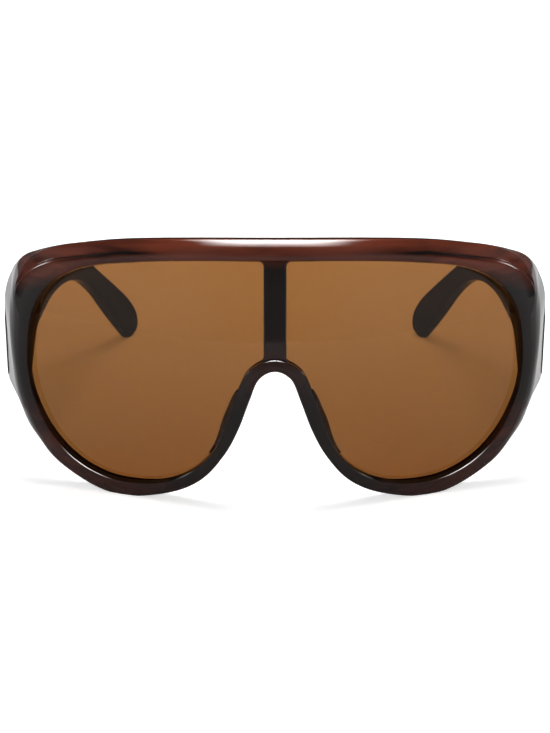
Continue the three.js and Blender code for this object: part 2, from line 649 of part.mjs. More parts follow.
// A turned screw: shank, then a domed head, along z with the head's underside at z = 0
function turnedScrew(shankRadius, shankLength, headRadius, headHeight) {
  const profile = [
    new THREE.Vector2(0, -shankLength),
    new THREE.Vector2(shankRadius, -shankLength),
    new THREE.Vector2(shankRadius, 0),
    new THREE.Vector2(headRadius, 0),
    new THREE.Vector2(headRadius, headHeight * 0.55),
    new THREE.Vector2(headRadius * 0.7, headHeight),
    new THREE.Vector2(0, headHeight),
  ];
  const screw = new THREE.LatheGeometry(profile, ROUND_SIDES);
  screw.rotateX(Math.PI / 2);
  return toGeometry(toManifold(screw));
}

// Holes that the fixing screws need in the end pieces and the temples
function fixingHolesAt(direction) {
  return fixingPlaces(direction).map(([y, z]) => {
    const depth = FIT_GAP + FIXING_DEPTH + FIXING_CLEARANCE;
    const hole = fixingHole(y, z, FIXING_RADIUS + FIXING_CLEARANCE, KNUCKLE_RADIUS, KNUCKLE_RADIUS + depth);
    hole.translate(HINGE_X, HINGE_Y, HINGE_HEIGHT);
    return hole;
  });
}

// Everything below the table top, to stand the rims and the ear tips flat
function belowTable() {
  const size = 4 * BASE_CURVE_RADIUS;
  const block = new THREE.BoxGeometry(size, size, size);
  block.translate(0, 0, -size / 2);
  return toManifold(block);
}

function frontFrame(opening) {
  const groove = grooveCutter(opening);
  let frame = toManifold(rimLoop()).add(toManifold(barBody(opening)));
  for (const cutter of [groove, mirrored(groove)]) {
    frame = frame.subtract(toManifold(cutter));
  }
  for (const hole of fixingHolesAt(-1)) {
    frame = frame.subtract(toManifold(hole)).subtract(toManifold(mirroredSolid(hole)));
  }
  return toGeometry(frame.subtract(belowTable()));
}

function mirroredSolid(geometry) {
  return mirrored(toGeometry(toManifold(geometry)));
}

function templeSolid() {
  let temple = toManifold(templeBody()).subtract(belowTable());
  for (const hole of fixingHolesAt(1)) {
    temple = temple.subtract(toManifold(hole));
  }
  return toGeometry(temple);
}

const group = new THREE.Group();

function addPiece(name, geometry, look, parent = group) {
  const piece = new THREE.Mesh(geometry, new THREE.MeshStandardMaterial(MATERIALS[look]));
  piece.name = name;
  parent.add(piece);
  return piece;
}

function addPair(name, geometry, look) {
  addPiece(`right_${name}`, geometry, look);
  addPiece(`left_${name}`, mirrored(geometry), look);
}

// One hinge with its screws. The left one is the right one turned over, so its leaves face inwards.
function addHinge(side, sign) {
  const hinge = new THREE.Group();
  hinge.position.set(sign * HINGE_X, HINGE_Y, HINGE_HEIGHT);
  group.add(hinge);
  const leaves = new THREE.Group();
  leaves.rotation.y = sign > 0 ? 0 : Math.PI;
  hinge.add(leaves);
  addPiece(`${side}_front_hinge_leaf`, hingeLeaf(-1, [-1, 1]), 'hinge', leaves);
  addPiece(`${side}_temple_hinge_leaf`, hingeLeaf(1, [0]), 'hinge', leaves);

  const pinLength = LEAF_HEIGHT + FIT_GAP + PIN_TAIL;
  const pin = turnedScrew(PIN_RADIUS, pinLength, PIN_HEAD_RADIUS, PIN_HEAD_HEIGHT);
  const pinMesh = addPiece(`${side}_hinge_screw`, pin, 'screw', hinge);
  pinMesh.position.z = LEAF_HEIGHT / 2 + FIT_GAP;

  const shank = FIT_GAP + LEAF_THICKNESS + FIT_GAP + FIXING_DEPTH;
  const fixing = turnedScrew(FIXING_RADIUS, shank, FIXING_HEAD_RADIUS, FIXING_HEAD_HEIGHT);
  for (const [leaf, direction] of [['front', -1], ['temple', 1]]) {
    fixingPlaces(direction).forEach(([y, z], i) => {
      const place = i === 0 ? 'lower' : 'upper';
      const screw = addPiece(`${side}_${leaf}_${place}_fixing_screw`, fixing, 'screw', hinge);
      screw.rotation.y = -sign * Math.PI / 2;
      screw.position.set(sign * (KNUCKLE_RADIUS - LEAF_THICKNESS - FIT_GAP), y, z);
    });
  }
}

const opening = openingOutline();
addPiece('front_frame', frontFrame(opening), 'front');
addPair('lens', lensBody(opening), 'lens');
addPair('nose_pad', padBody(), 'pad');
addPair('temple', templeSolid(), 'temple');
addHinge('right', 1);
addHinge('left', -1);

// The origin is the middle of the footprint
const box = new THREE.Box3().setFromObject(group);
group.position.y = -(box.min.y + box.max.y) / 2;
group.updateMatrixWorld(true);

export default group;
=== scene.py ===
import math

import bmesh
import bpy
from mathutils import Matrix, Vector


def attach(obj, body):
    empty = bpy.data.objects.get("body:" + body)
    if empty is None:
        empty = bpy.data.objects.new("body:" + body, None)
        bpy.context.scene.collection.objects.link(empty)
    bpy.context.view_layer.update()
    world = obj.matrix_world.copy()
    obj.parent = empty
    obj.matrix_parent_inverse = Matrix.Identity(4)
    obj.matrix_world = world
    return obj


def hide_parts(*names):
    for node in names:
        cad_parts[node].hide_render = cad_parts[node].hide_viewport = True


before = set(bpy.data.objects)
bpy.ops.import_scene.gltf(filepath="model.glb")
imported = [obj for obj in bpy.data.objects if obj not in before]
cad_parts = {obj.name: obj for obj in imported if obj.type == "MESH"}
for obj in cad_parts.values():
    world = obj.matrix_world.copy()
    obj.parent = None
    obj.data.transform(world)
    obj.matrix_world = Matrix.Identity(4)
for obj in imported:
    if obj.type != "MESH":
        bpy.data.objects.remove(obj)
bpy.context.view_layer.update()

# Sizes are in millimetres where a comment doesn't say metres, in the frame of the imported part
MM = 0.001

# Front surface that the rims and both lenses follow
BASE_CURVE_RADIUS = 125.0
CURVE_CENTRE_HEIGHT = 37.0
FRONT_LEAN = math.radians(4.0)
FOOT_FLAT_DEPTH = 0.25
FOOTPRINT_MIDDLE = 79.2426
LIFT_STEPS = 3

# Rim profile, forward of the lens's front face
RIM_FRONT = 2.2
RIM_BACK = -2.9
RIM_CROWN = 0.45
RIM_EDGE = 0.45
BROW_UNDERCUT = 0.45
CORNER_ROUND = 2.6
CREASE_RUN = 0.68
RIDGE_RUN = 0.3
RIDGE_HEIGHT = 0.5
FIT_GAP = 0.3

# Where the profile changes along the rim, counted in sections from the middle of the brow:
# the place where a change starts or is over, and the run it takes
BROW_UNTIL = (2.6, 1.6)
RIDGE_FROM = (3.2, 0.7)
RIDGE_UNTIL = (6.1, 0.6)
HOLLOW_FROM = (4.1, 0.6)
PLAIN_FROM = (5.45, 1.1)
CORNER_ROUND_UNTIL = (7.3, 1.3)
LOWER_FROM = (8.8, 0.6)
LOWER_UNTIL = (11.0, 1.0)

# Where the face has no crease: shares of the face's width and of the crown, from the opening outwards
PLAIN_MIDDLE = (0.45, 0.5)
PLAIN_CREASE = (0.72, 0.65)
PLAIN_FOOT = (0.88, 0.68)
PLAIN_EDGE_LIFT = 0.66

# Turn from the face to the side, as shares of the side's width and of the turn's depth:
# on a plain rim, at an end piece, at the ridge and on the lower outer curve
SIDE_TURN_IN = (0.12, 0.56, 0.5, 0.68)
SIDE_TURN_BACK = (0.12, 0.2, 0.5, 0.16)

# Rounds of the rim's corners: how far a corner is cut, and the steps of its curve
LIP_ROUND = (0.4, 3)
SEAT_ROUND = (0.3, 2)
MOUTH_ROUND = (0.35, 4)
FACE_ROUND = (2.0, 5)
BRINK_ROUND = (0.8, 4)
FACET_ROUND = (0.16, 3)
SIDE_ROUND = (3.0, 7)
BACK_ROUND = (0.35, 3)
ROOT_ROUND = (0.5, 3)
# The two corners that are sharper at the ridge: cuts away from it and at it, then steps
FACET_EDGE_CUTS = (0.7, 0.1)
FACET_EDGE_STEPS = 3
SIDE_EDGE_CUTS = (1.2, 0.6)
SIDE_EDGE_STEPS = 4

# Right rim from the middle of the brow round the outside to the middle of the bridge:
# opening x and z, outline x and z, crease share, step, side width, side turn, setback of the lip
RIM_SECTIONS = (
    (0, 68.3, 0, 74.5, 0.35, 0, 2.9, 2.6, 0),
    (22, 67.95, 22, 74.2, 0.37, 0, 2.7, 2.6, 0.3),
    (38.1, 66.85, 40, 73.1, 0.37, 0.3, 2.2, 2.3, 0.5),
    (49.8, 65, 53.5, 71, 0.36, 0.9, 1.2, 1.9, 0.8),
    (57.7, 61.7, 64.2, 68.5, 0.495, 1.1, 0.9, 1.7, 1.2),
    (63.1, 56.9, 72.7, 64.6, 0.505, 1.1, 3.8, 3.0, 1.7),
    (66.5, 50.4, 74, 55.3, 0.62, 0.1, 2.6, 2.2, 2.1),
    (67.8, 42.6, 73.7, 44.4, 0.38, 0, 3.1, 1.3, 2.1),
    (67.9, 34, 73.1, 34.4, 0.33, 0, 2.9, 1.3, 2.1),
    (66.2, 26, 72.5, 25.15, 0.32, 0, 3.7, 2.0, 2.1),
    (62, 17.2, 69.4, 15.7, 0.27, 0, 4.3, 2.8, 1.9),
    (55.5, 10.3, 60.6, 7.75, 0.33, 0, 3.4, 2.6, 1.7),
    (47, 6.1, 50, 2.0, 0.44, 0, 2.2, 2.1, 1.4),
    (38, 5.2, 40.5, 0.51, 0.52, 0, 1.5, 1.7, 1.3),
    (29.5, 6.6, 28, 3.2, 0.5, 0, 1.3, 1.7, 1.2),
    (22.3, 10.4, 19.6, 7.95, 0.46, 0, 1.1, 1.7, 0.8),
    (16.8, 16.3, 13.5, 15.5, 0.46, 0, 1.1, 1.7, 0.3),
    (13.6, 23.4, 9.7, 23, 0.48, 0, 1.2, 1.7, 0),
    (10.8, 31.6, 6.7, 31.2, 0.48, 0, 1.2, 1.7, 0),
    (7.2, 39.3, 4.2, 37.1, 0.48, 0, 1.2, 1.7, 0),
    (0, 42.7, 0, 39.3, 0.48, 0, 1.2, 1.7, 0),
)
RIM_COLUMNS = tuple(zip(*RIM_SECTIONS))
COLUMN_MIRRORS = (-1, 1, -1, 1, 1, 1, 1, 1, 1)
LAST_SECTION = len(RIM_SECTIONS) - 1
RIM_STEPS = 9

# End pieces, whose first and last places are counted in sections along the rim
END_PIECE_OUTER_X = 77.9
END_PIECE_INNER_X = 70.8
END_PIECE_TOP = 56.5
END_PIECE_BOTTOM = 24.0
SHOULDER_WIDTH = 2.4
SHOULDER_HEIGHT = 9.0
END_PIECE_FIRST = 6.0
END_PIECE_LAST = 9.0
END_PIECE_RISE = 1.3
END_PIECE_SWEEP = 0.55
END_PIECE_FADE = 1.0 / 3.0
SIDEWAYS_LEAST = 0.05
SEAM_Y = 40.5306
SEAM = SEAM_Y - FOOTPRINT_MIDDLE

# Bar between the openings
BAR_HALF_WIDTH = 3.05
BAR_FRONT = 0.9
BAR_TOP_FILLET = 1.6
BAR_BOTTOM_FILLET = 0.9
BAR_BOTTOM_RISE = 1.6
BAR_ROOT = 1.4
BAR_FRONT_ROUND = (0.55, 4)
BAR_BACK_ROUND = (0.3, 2)
BAR_STEPS = 16
TOP_FILLET_STEPS = 10
BOTTOM_FILLET_STEPS = 8

# Lenses
LENS_THICKNESS = 1.8
LENS_SEAT = 0.7
LENS_CENTRE = (36.0, 40.0)
LENS_RINGS = 14
LENS_EDGE_BREAK = 0.25
GROOVE_DEPTH = LENS_SEAT + FIT_GAP
GROOVE_MOUTH = 1.6

# Nose pads. Pairs are the values at the lower and the upper end.
PAD_LOW = 13.7
PAD_HIGH = 32.7
PAD_FIRST_SECTION = 13
PAD_DEPTH = 6.2
PAD_EDGE_DEPTH = 0.7
PAD_OVERHANG = 1.5
PAD_MARGIN = 0.4
PAD_STEPS = 40
PAD_SWELL_RUN = (0.008, 0.992)
PAD_SWELL_POWER = (1.9, 0.5)
PAD_DEPTH_SHARE = (0.75, 1.0)
PAD_OVERHANG_SHARE = (0.75, 1.05)
PAD_END_MARGIN = (0.46, 0.3)
PAD_MARGIN_FADE = 1.6
# Section of a pad, in shares: depth of the flank; rim's width, overhang and depth along the crest;
# overhang and depth of the hollow under it
PAD_FLANK = 0.2
PAD_CREST = ((0.6, 0.3, 0.7), (0.25, 0.7, 1.0), (0.0, 0.9, 1.0), (0.0, 1.0, 0.75))
PAD_HOLLOW = (0.5, 0.35)
PAD_BASE_CUT = 0.3
PAD_CUT = 2.0
PAD_ROUND_STEPS = 3

# Temples: lower and upper edge in side view, behind the seam and above the table
TEMPLE_SECTIONS = (
    (FIT_GAP, END_PIECE_BOTTOM, FIT_GAP, END_PIECE_TOP),
    (12.7, 33.5, 14.5, 54.4),
    (27, 34.6, 30.5, 51.8),
    (42.5, 34.5, 46.5, 49.1),
    (57.3, 34.6, 61.5, 46.3),
    (69.2, 33.5, 75, 42.1),
    (80, 30.1, 86, 35.4),
    (89.6, 23.2, 96, 28.2),
    (97.6, 14.6, 104.7, 21.5),
    (104.4, 7.1, 111.9, 15.3),
    (108.6, 2.6, 116.5, 9.6),
    (111.8, -FOOT_FLAT_DEPTH, 117.9, 4.9),
    (115.1, 0.9, 117, 2.5),
)
TEMPLE_COLUMNS = tuple(zip(*TEMPLE_SECTIONS))
TEMPLE_LAST = len(TEMPLE_SECTIONS) - 1
TEMPLE_STEPS = 8
TEMPLE_FRONT_THICKNESS = 7.5
TEMPLE_TIP_THICKNESS = 3.0
TEMPLE_TAPER_POWER = 0.6
TEMPLE_SHOULDER_WIDTH = 3.2
TEMPLE_SHOULDER_HEIGHT = 14.0
TEMPLE_SHOULDER_END = 55.0
TEMPLE_SHOULDER_STEPS = 4
TEMPLE_SLOPE_ROUND = (1.0, 2)
TEMPLE_EDGE_ROUND = 1.7
TEMPLE_EDGE_STEPS = 5
TEMPLE_EDGE_SHARE = 0.42
TEMPLE_CROWN = 0.35
TEMPLE_CROWN_SHARE = 0.04
# Broken edge at the seam: how far each ring is set in, and how far it lies behind the seam
TEMPLE_END_RINGS = ((0.4, 0.0), (0.12, 0.1), (0.0, 0.4))
# Bend towards the head: start and end behind the seam, reach and power
TEMPLE_BEND = (40.5, 112.5, 18.5, 1.75)

# Hinges
HINGE = Vector((68.8, -38.562, 48.7))
KNUCKLE_RADIUS = 1.7
KNUCKLE_LENGTH = 2.8
KNUCKLE_PITCH = 3.1
KNUCKLE_CHAMFER = 0.15
BORE_RADIUS = 0.85
LEAF_THICKNESS = 1.2
LEAF_LENGTH = 6.0
LEAF_START = 2.15
LEAF_HEIGHT = 9.0
LEAF_CORNER = 1.0
TONGUE_OVERLAP = 1
TONGUE_INSET = 0.1
TONGUE_SUNK = 0.02
HOLE_DEPTH = 3
BROKEN_EDGE = 0.12
BROKEN_EDGE_STEPS = 2
BROKEN_EDGE_ANGLE = 50
ARC_STEPS = 8
ROUND_SIDES = 40

# Screws: radius and length of the shank, then radius and height of the head
PIN_SIZES = (0.6, LEAF_HEIGHT + 0.7, 1.4, 0.7)
FIXING_SIZES = (0.6, 4.8, 1.15, 0.6)
FIXING_Y = 5.75
FIXING_SPACING = 5.2
FIXING_TURN = 0.7
SHANK_CHAMFER = 0.15
HEAD_CHAMFER = 0.08
HEAD_FLAT = 0.08
# Shares of the head's height and radius
HEAD_WALL = 0.45
SLOT_FLOOR = 0.5
SLOT_REACH = 1.2
SLOT_HALF_WIDTH = 0.13

# Edges that turn by more degrees than this are shaded sharp
FRONT_SHARP = 34
LENS_SHARP = 30
PAD_SHARP = 60
TEMPLE_SHARP = 40
LEAF_SHARP = 32
SCREW_SHARP = 30
SHADING_WEIGHT = 60

# Limits of the arithmetic, not of the object; the last is in metres
HALVINGS = 40
LEAST_LENGTH = 1e-6
CUT_LIMIT = 0.49
MERGE_DISTANCE = 1e-7


def mix(a, b, share):
    return a + (b - a) * share


def clamp(value, low=0.0, high=1.0):
    return max(low, min(high, value))


def eased_step(share):
    share = clamp(share)
    return share * share * (3 - 2 * share)


def rising(place, start, run):
    return eased_step((place - start) / run)


def falling(place, end, run):
    return eased_step((end - place) / run)


# Smooth run through one column of a table. Past its ends the run goes straight on, unless it is
# mirrored there: 1 where the size stays the same on the other side, -1 where its sign turns.
def run_through(values, place, mirror=0):
    last = len(values) - 1
    i = min(int(math.floor(place)), last - 1)
    f = place - i

    def beyond(end, inside):
        return mirror * inside if mirror else 2 * end - inside

    before = values[i - 1] if i > 0 else beyond(values[0], values[1])
    after = values[i + 2] if i + 2 <= last else beyond(values[last], values[last - 1])
    start = (values[i + 1] - before) / 2
    end = (after - values[i]) / 2
    a = 2 * values[i] - 2 * values[i + 1] + start + end
    b = -3 * values[i] + 3 * values[i + 1] - 2 * start - end
    return ((a * f + b) * f + start) * f + values[i]


class RimPlace:
    """The rim's sizes at one place along it."""

    def __init__(self, place):
        sizes = [run_through(c, place, m) for c, m in zip(RIM_COLUMNS, COLUMN_MIRRORS)]
        self.inner = Vector(sizes[0:2])
        self.outer = Vector(sizes[2:4])
        self.width = (self.outer - self.inner).length
        self.across = (self.outer - self.inner) / self.width
        self.crease = sizes[4] * self.width
        self.step, self.side, self.turn, self.lip = sizes[5:9]

    def at(self, distance, forward):
        spot = self.inner + self.across * distance
        return on_front(spot.x, spot.y, forward)


def on_curve(x, z, forward):
    across, up = x / BASE_CURVE_RADIUS, (z - CURVE_CENTRE_HEIGHT) / BASE_CURVE_RADIUS
    ahead = -math.sqrt(1 - across * across - up * up)
    point = Vector((across, ahead, up)) * (BASE_CURVE_RADIUS + forward)
    point += Vector((0, BASE_CURVE_RADIUS, CURVE_CENTRE_HEIGHT))
    return Matrix.Rotation(-FRONT_LEAN, 3, "X") @ point


def front_lift():
    places = [RimPlace(i / LIFT_STEPS) for i in range(LIFT_STEPS * LAST_SECTION + 1)]
    return -min(on_curve(p.outer.x, p.outer.y, 0).z for p in places) - FOOT_FLAT_DEPTH


LIFT = front_lift()


def on_front(x, z, forward):
    return on_curve(x, z, forward) + Vector((0, -FOOTPRINT_MIDDLE, LIFT))


# Place along the rim where the opening's x or z, axis 0 or 1, reaches a value
def place_where(axis, value, low, high):
    below = RimPlace(low).inner[axis] < value
    for _ in range(HALVINGS):
        middle = (low + high) / 2
        if (RimPlace(middle).inner[axis] < value) == below:
            low = middle
        else:
            high = middle
    return low


# Points of the short curve that turns a corner
def fillet(start, corner, end, steps):
    shares = [k / steps for k in range(steps + 1)]
    return [start * (1 - t) ** 2 + corner * (2 * t * (1 - t)) + end * t * t for t in shares]


# Closed outline with each corner turned into a short curve; corners are (point, cut, steps)
def eased(corners):
    ring = []
    count = len(corners)
    for i, (point, cut, steps) in enumerate(corners):
        before = corners[i - 1][0] - point
        after = corners[(i + 1) % count][0] - point
        start = point + before * min(cut / max(before.length, LEAST_LENGTH), CUT_LIMIT)
        end = point + after * min(cut / max(after.length, LEAST_LENGTH), CUT_LIMIT)
        ring += fillet(start, point, end, steps)
    return ring


# Objects and meshes
def in_scene(name, data):
    made = bpy.data.objects.new(name, data)
    bpy.context.scene.collection.objects.link(made)
    return made


def aim(thing, place, target):
    thing.location = place
    thing.rotation_mode = "QUATERNION"
    thing.rotation_quaternion = (Vector(target) - Vector(place)).to_track_quat("-Z", "Y")


def new_piece(name, bm):
    bmesh.ops.remove_doubles(bm, verts=bm.verts, dist=MERGE_DISTANCE)
    bmesh.ops.recalc_face_normals(bm, faces=bm.faces)
    mesh = bpy.data.meshes.new(name)
    bm.to_mesh(mesh)
    bm.free()
    return in_scene(name, mesh)


def loft(name, rings, closed=False, ends=(None, None)):
    bm = bmesh.new()
    rows = [[bm.verts.new(p * MM) for p in ring] for ring in rings]
    sides = len(rows[0])
    spans = len(rows) if closed else len(rows) - 1
    for r in range(spans):
        here, there = rows[r], rows[(r + 1) % len(rows)]
        for s in range(sides):
            t = (s + 1) % sides
            bm.faces.new((here[s], here[t], there[t], there[s]))
    if not closed:
        for row, ring, end in ((rows[0], rings[0], ends[0]), (rows[-1], rings[-1], ends[1])):
            middle = end or sum(ring, Vector((0, 0, 0))) / sides
            hub = bm.verts.new(middle * MM)
            for s in range(sides):
                bm.faces.new((hub, row[s], row[(s + 1) % sides]))
    return new_piece(name, bm)


def mirrored(piece, name):
    mesh = piece.data.copy()
    mesh.name = name
    mesh.transform(Matrix.Diagonal((-1, 1, 1, 1)))
    mesh.flip_normals()
    return in_scene(name, mesh)


def bake_modifiers(piece):
    graph = bpy.context.evaluated_depsgraph_get()
    made = bpy.data.meshes.new_from_object(piece.evaluated_get(graph))
    old = piece.data
    piece.modifiers.clear()
    piece.data = made
    made.name = piece.name
    bpy.data.meshes.remove(old)


def cut_or_join(piece, tool, operation):
    modifier = piece.modifiers.new("shape", "BOOLEAN")
    modifier.operation = operation
    modifier.solver = "MANIFOLD"
    modifier.object = tool
    bake_modifiers(piece)
    old = tool.data
    bpy.data.objects.remove(tool)
    bpy.data.meshes.remove(old)


def even_shading(piece):
    weighted = piece.modifiers.new("even_shading", "WEIGHTED_NORMAL")
    weighted.keep_sharp = True
    weighted.weight = SHADING_WEIGHT


def smooth(piece, angle):
    piece.data.shade_smooth()
    piece.data.set_sharp_from_angle(angle=math.radians(angle))
    even_shading(piece)


def rest_on_table(piece):
    for vertex in piece.data.vertices:
        vertex.co.z = max(vertex.co.z, 0.0)


# Front moulding
def end_piece_share(place):
    rise = (place - END_PIECE_FIRST + END_PIECE_RISE) / END_PIECE_RISE
    fall = (END_PIECE_LAST + END_PIECE_FADE - place) / END_PIECE_FADE
    return eased_step(min(rise, fall))


def end_piece_root(place, rim):
    x = END_PIECE_INNER_X * BASE_CURVE_RADIUS / (BASE_CURVE_RADIUS + RIM_BACK)
    sideways_rim = rim.across.x > SIDEWAYS_LEAST
    distance = (x - rim.inner.x) / rim.across.x if sideways_rim else rim.width / 2
    return mix(rim.width / 2, distance, end_piece_share(place))


# How far the sloping shoulder draws the side in, at a depth below the top
def shoulder_at(below, width, height):
    return width * clamp(1 - below / height) ** 2


def by_stretch(sizes, end_piece, ridge, lower):
    plain, at_end_piece, at_ridge, at_lower = sizes
    return mix(mix(mix(plain, at_end_piece, end_piece), at_ridge, ridge), at_lower, lower)


def rim_ring(place):
    rim = RimPlace(place)
    plain = rising(place, *PLAIN_FROM)
    side = rim.side + CORNER_ROUND * falling(place, *CORNER_ROUND_UNTIL) * plain
    face = rim.width - side
    brow = falling(place, *BROW_UNTIL)
    ridge = min(rising(place, *RIDGE_FROM), falling(place, *RIDGE_UNTIL))
    hollowed = ridge * rising(place, *HOLLOW_FROM)
    lower = min(rising(place, *LOWER_FROM), falling(place, *LOWER_UNTIL))
    crown = RIM_CROWN * (1 - brow)
    facet = mix(RIM_FRONT - rim.step, RIM_FRONT + crown * PLAIN_EDGE_LIFT, plain)
    brink = RIM_FRONT + crown / 2
    foot = min(brink, RIM_FRONT - rim.step + crown / 2)
    share = end_piece_share(place)
    turn_in = by_stretch(SIDE_TURN_IN, share, ridge, lower)
    turn_back = by_stretch(SIDE_TURN_BACK, share, ridge, lower)
    down = clamp((place - END_PIECE_FIRST) / (END_PIECE_LAST - END_PIECE_FIRST))
    height = mix(END_PIECE_TOP, END_PIECE_BOTTOM, down)
    drawn_in = shoulder_at(END_PIECE_TOP - height, SHOULDER_WIDTH, SHOULDER_HEIGHT)
    height += max(rim.outer.y - END_PIECE_TOP, 0) * END_PIECE_SWEEP
    side_edge = rim.at(rim.width, RIM_BACK + RIM_EDGE)
    back_edge = rim.at(rim.width - RIM_EDGE, RIM_BACK)
    seam_outer = Vector((END_PIECE_OUTER_X - drawn_in, SEAM, height))
    seam_inner = Vector((END_PIECE_INNER_X, SEAM, height))

    def face_spot(creased, creased_lift, plain_share, plain_lift):
        distance = mix(creased, face * plain_share, plain)
        return rim.at(distance, mix(creased_lift, RIM_FRONT + crown * plain_lift, plain))

    facet_foot = face_spot(rim.crease + CREASE_RUN, foot, *PLAIN_FOOT)
    facet_edge = rim.at(face, facet)
    hollow = rim.at(face - RIDGE_RUN, facet - RIDGE_HEIGHT)
    facet_middle = facet_foot.lerp(facet_edge, 0.5).lerp(hollow, hollowed)
    return eased([
        (rim.at(rim.lip, RIM_BACK), *LIP_ROUND),
        (rim.at(0, -FIT_GAP), *SEAT_ROUND),
        (rim.at(0, RIM_FRONT - BROW_UNDERCUT * brow), *MOUTH_ROUND),
        (face_spot(rim.crease * 0.5, RIM_FRONT + crown, *PLAIN_MIDDLE), *FACE_ROUND),
        (face_spot(rim.crease, brink, *PLAIN_CREASE), *BRINK_ROUND),
        (facet_foot, *FACET_ROUND),
        (facet_middle, *FACET_ROUND),
        (facet_edge, mix(*FACET_EDGE_CUTS, ridge), FACET_EDGE_STEPS),
        (rim.at(rim.width - turn_in * side, facet - turn_back * rim.turn), *SIDE_ROUND),
        (rim.at(rim.width, facet - rim.turn), mix(*SIDE_EDGE_CUTS, ridge), SIDE_EDGE_STEPS),
        (side_edge.lerp(seam_outer, share), *BACK_ROUND),
        (back_edge.lerp(seam_inner, share), *BACK_ROUND),
        (rim.at(end_piece_root(place, rim), RIM_BACK), *ROOT_ROUND),
    ])


def rim_loop():
    steps = LAST_SECTION * RIM_STEPS
    right = [rim_ring(i / RIM_STEPS) for i in range(steps + 1)]
    left = [[Vector((-p.x, p.y, p.z)) for p in ring] for ring in reversed(right[1:steps])]
    return loft("front_moulding", right + left, closed=True)


# Opening round one lens on the front surface, closed along the bar with fillets, and the lip's setback
def opening_outline():
    first = place_where(0, BAR_HALF_WIDTH + BAR_TOP_FILLET, 0, 1)
    final = place_where(0, BAR_HALF_WIDTH + BAR_BOTTOM_FILLET, LAST_SECTION - 1, LAST_SECTION)
    top, bottom = RimPlace(first).inner, RimPlace(final).inner
    bar_top = Vector((BAR_HALF_WIDTH, top.y - BAR_TOP_FILLET))
    bar_bottom = Vector((BAR_HALF_WIDTH, bottom.y + BAR_BOTTOM_FILLET * BAR_BOTTOM_RISE))
    points, lips = [top], [0.0]
    for i in range(math.ceil(first * RIM_STEPS) + 1, math.floor(final * RIM_STEPS)):
        rim = RimPlace(i / RIM_STEPS)
        points.append(rim.inner)
        lips.append(rim.lip)
    lower_corner = Vector((BAR_HALF_WIDTH, bottom.y + BAR_BOTTOM_FILLET / 2))
    points += fillet(bottom, lower_corner, bar_bottom, BOTTOM_FILLET_STEPS)
    points += [bar_bottom.lerp(bar_top, k / BAR_STEPS) for k in range(1, BAR_STEPS)]
    points += fillet(bar_top, Vector((BAR_HALF_WIDTH, top.y)), top, TOP_FILLET_STEPS)[:-1]
    lips += [0.0] * (len(points) - len(lips))
    return points, lips


OPENING, OPENING_LIPS = opening_outline()


def grown(distance):
    count = len(OPENING)
    outline = []
    for i, point in enumerate(OPENING):
        run = (OPENING[(i + 1) % count] - OPENING[i - 1]).normalized()
        out = OPENING_LIPS[i] + distance
        outline.append(Vector((point.x - run.y * out, point.y + run.x * out)))
    return outline


def ring_on_front(outline, forward):
    return [on_front(p.x, p.y, forward) for p in outline]


def groove_cutter():
    centre = Vector(LENS_CENTRE)
    reach = (OPENING[0] - centre).length
    floor = grown(GROOVE_DEPTH)
    mouth = [p.lerp(centre, GROOVE_MOUTH / reach) for p in OPENING]
    front, back = FIT_GAP, -LENS_THICKNESS - FIT_GAP
    bands = (
        ring_on_front(floor, front),
        ring_on_front(floor, back),
        ring_on_front(mouth, back),
        ring_on_front(mouth, front),
    )
    return loft("groove", [list(r) for r in zip(*bands)], closed=True)


def bar_body():
    widest = BAR_HALF_WIDTH + BAR_TOP_FILLET + LEAST_LENGTH
    side = sorted((p for p in OPENING if p.x <= widest), key=lambda p: p.y)
    low = Vector((side[0].x, side[0].y - BAR_ROOT))
    high = Vector((side[-1].x, side[-1].y + BAR_ROOT))
    back = RIM_BACK + RIM_EDGE
    rings = []
    for p in [low] + side + [high]:
        rings.append(eased([
            (on_front(-p.x, p.y, BAR_FRONT), *BAR_FRONT_ROUND),
            (on_front(p.x, p.y, BAR_FRONT), *BAR_FRONT_ROUND),
            (on_front(p.x, p.y, back), *BAR_BACK_ROUND),
            (on_front(-p.x, p.y, back), *BAR_BACK_ROUND),
        ]))
    return loft("bar", rings)


def front_moulding():
    front = rim_loop()
    rest_on_table(front)
    cut_or_join(front, bar_body(), "UNION")
    groove = groove_cutter()
    other = mirrored(groove, "other_groove")
    cut_or_join(front, groove, "DIFFERENCE")
    cut_or_join(front, other, "DIFFERENCE")
    smooth(front, FRONT_SHARP)
    return front


def lens():
    centre = Vector(LENS_CENTRE)
    edge = grown(LENS_SEAT)
    reach = min((p - centre).length for p in edge)
    inset = [p.lerp(centre, LENS_EDGE_BREAK / reach) for p in edge]
    front, back = [], []
    for k in range(1, LENS_RINGS + 1):
        ring = [centre.lerp(p, k / LENS_RINGS) for p in inset]
        front.append(ring_on_front(ring, 0))
        back.insert(0, ring_on_front(ring, -LENS_THICKNESS))
    rim = [
        ring_on_front(edge, -LENS_EDGE_BREAK),
        ring_on_front(edge, LENS_EDGE_BREAK - LENS_THICKNESS),
    ]
    ends = (on_front(*LENS_CENTRE, 0), on_front(*LENS_CENTRE, -LENS_THICKNESS))
    piece = loft("right_lens_pane", front + rim + back, ends=ends)
    smooth(piece, LENS_SHARP)
    return piece


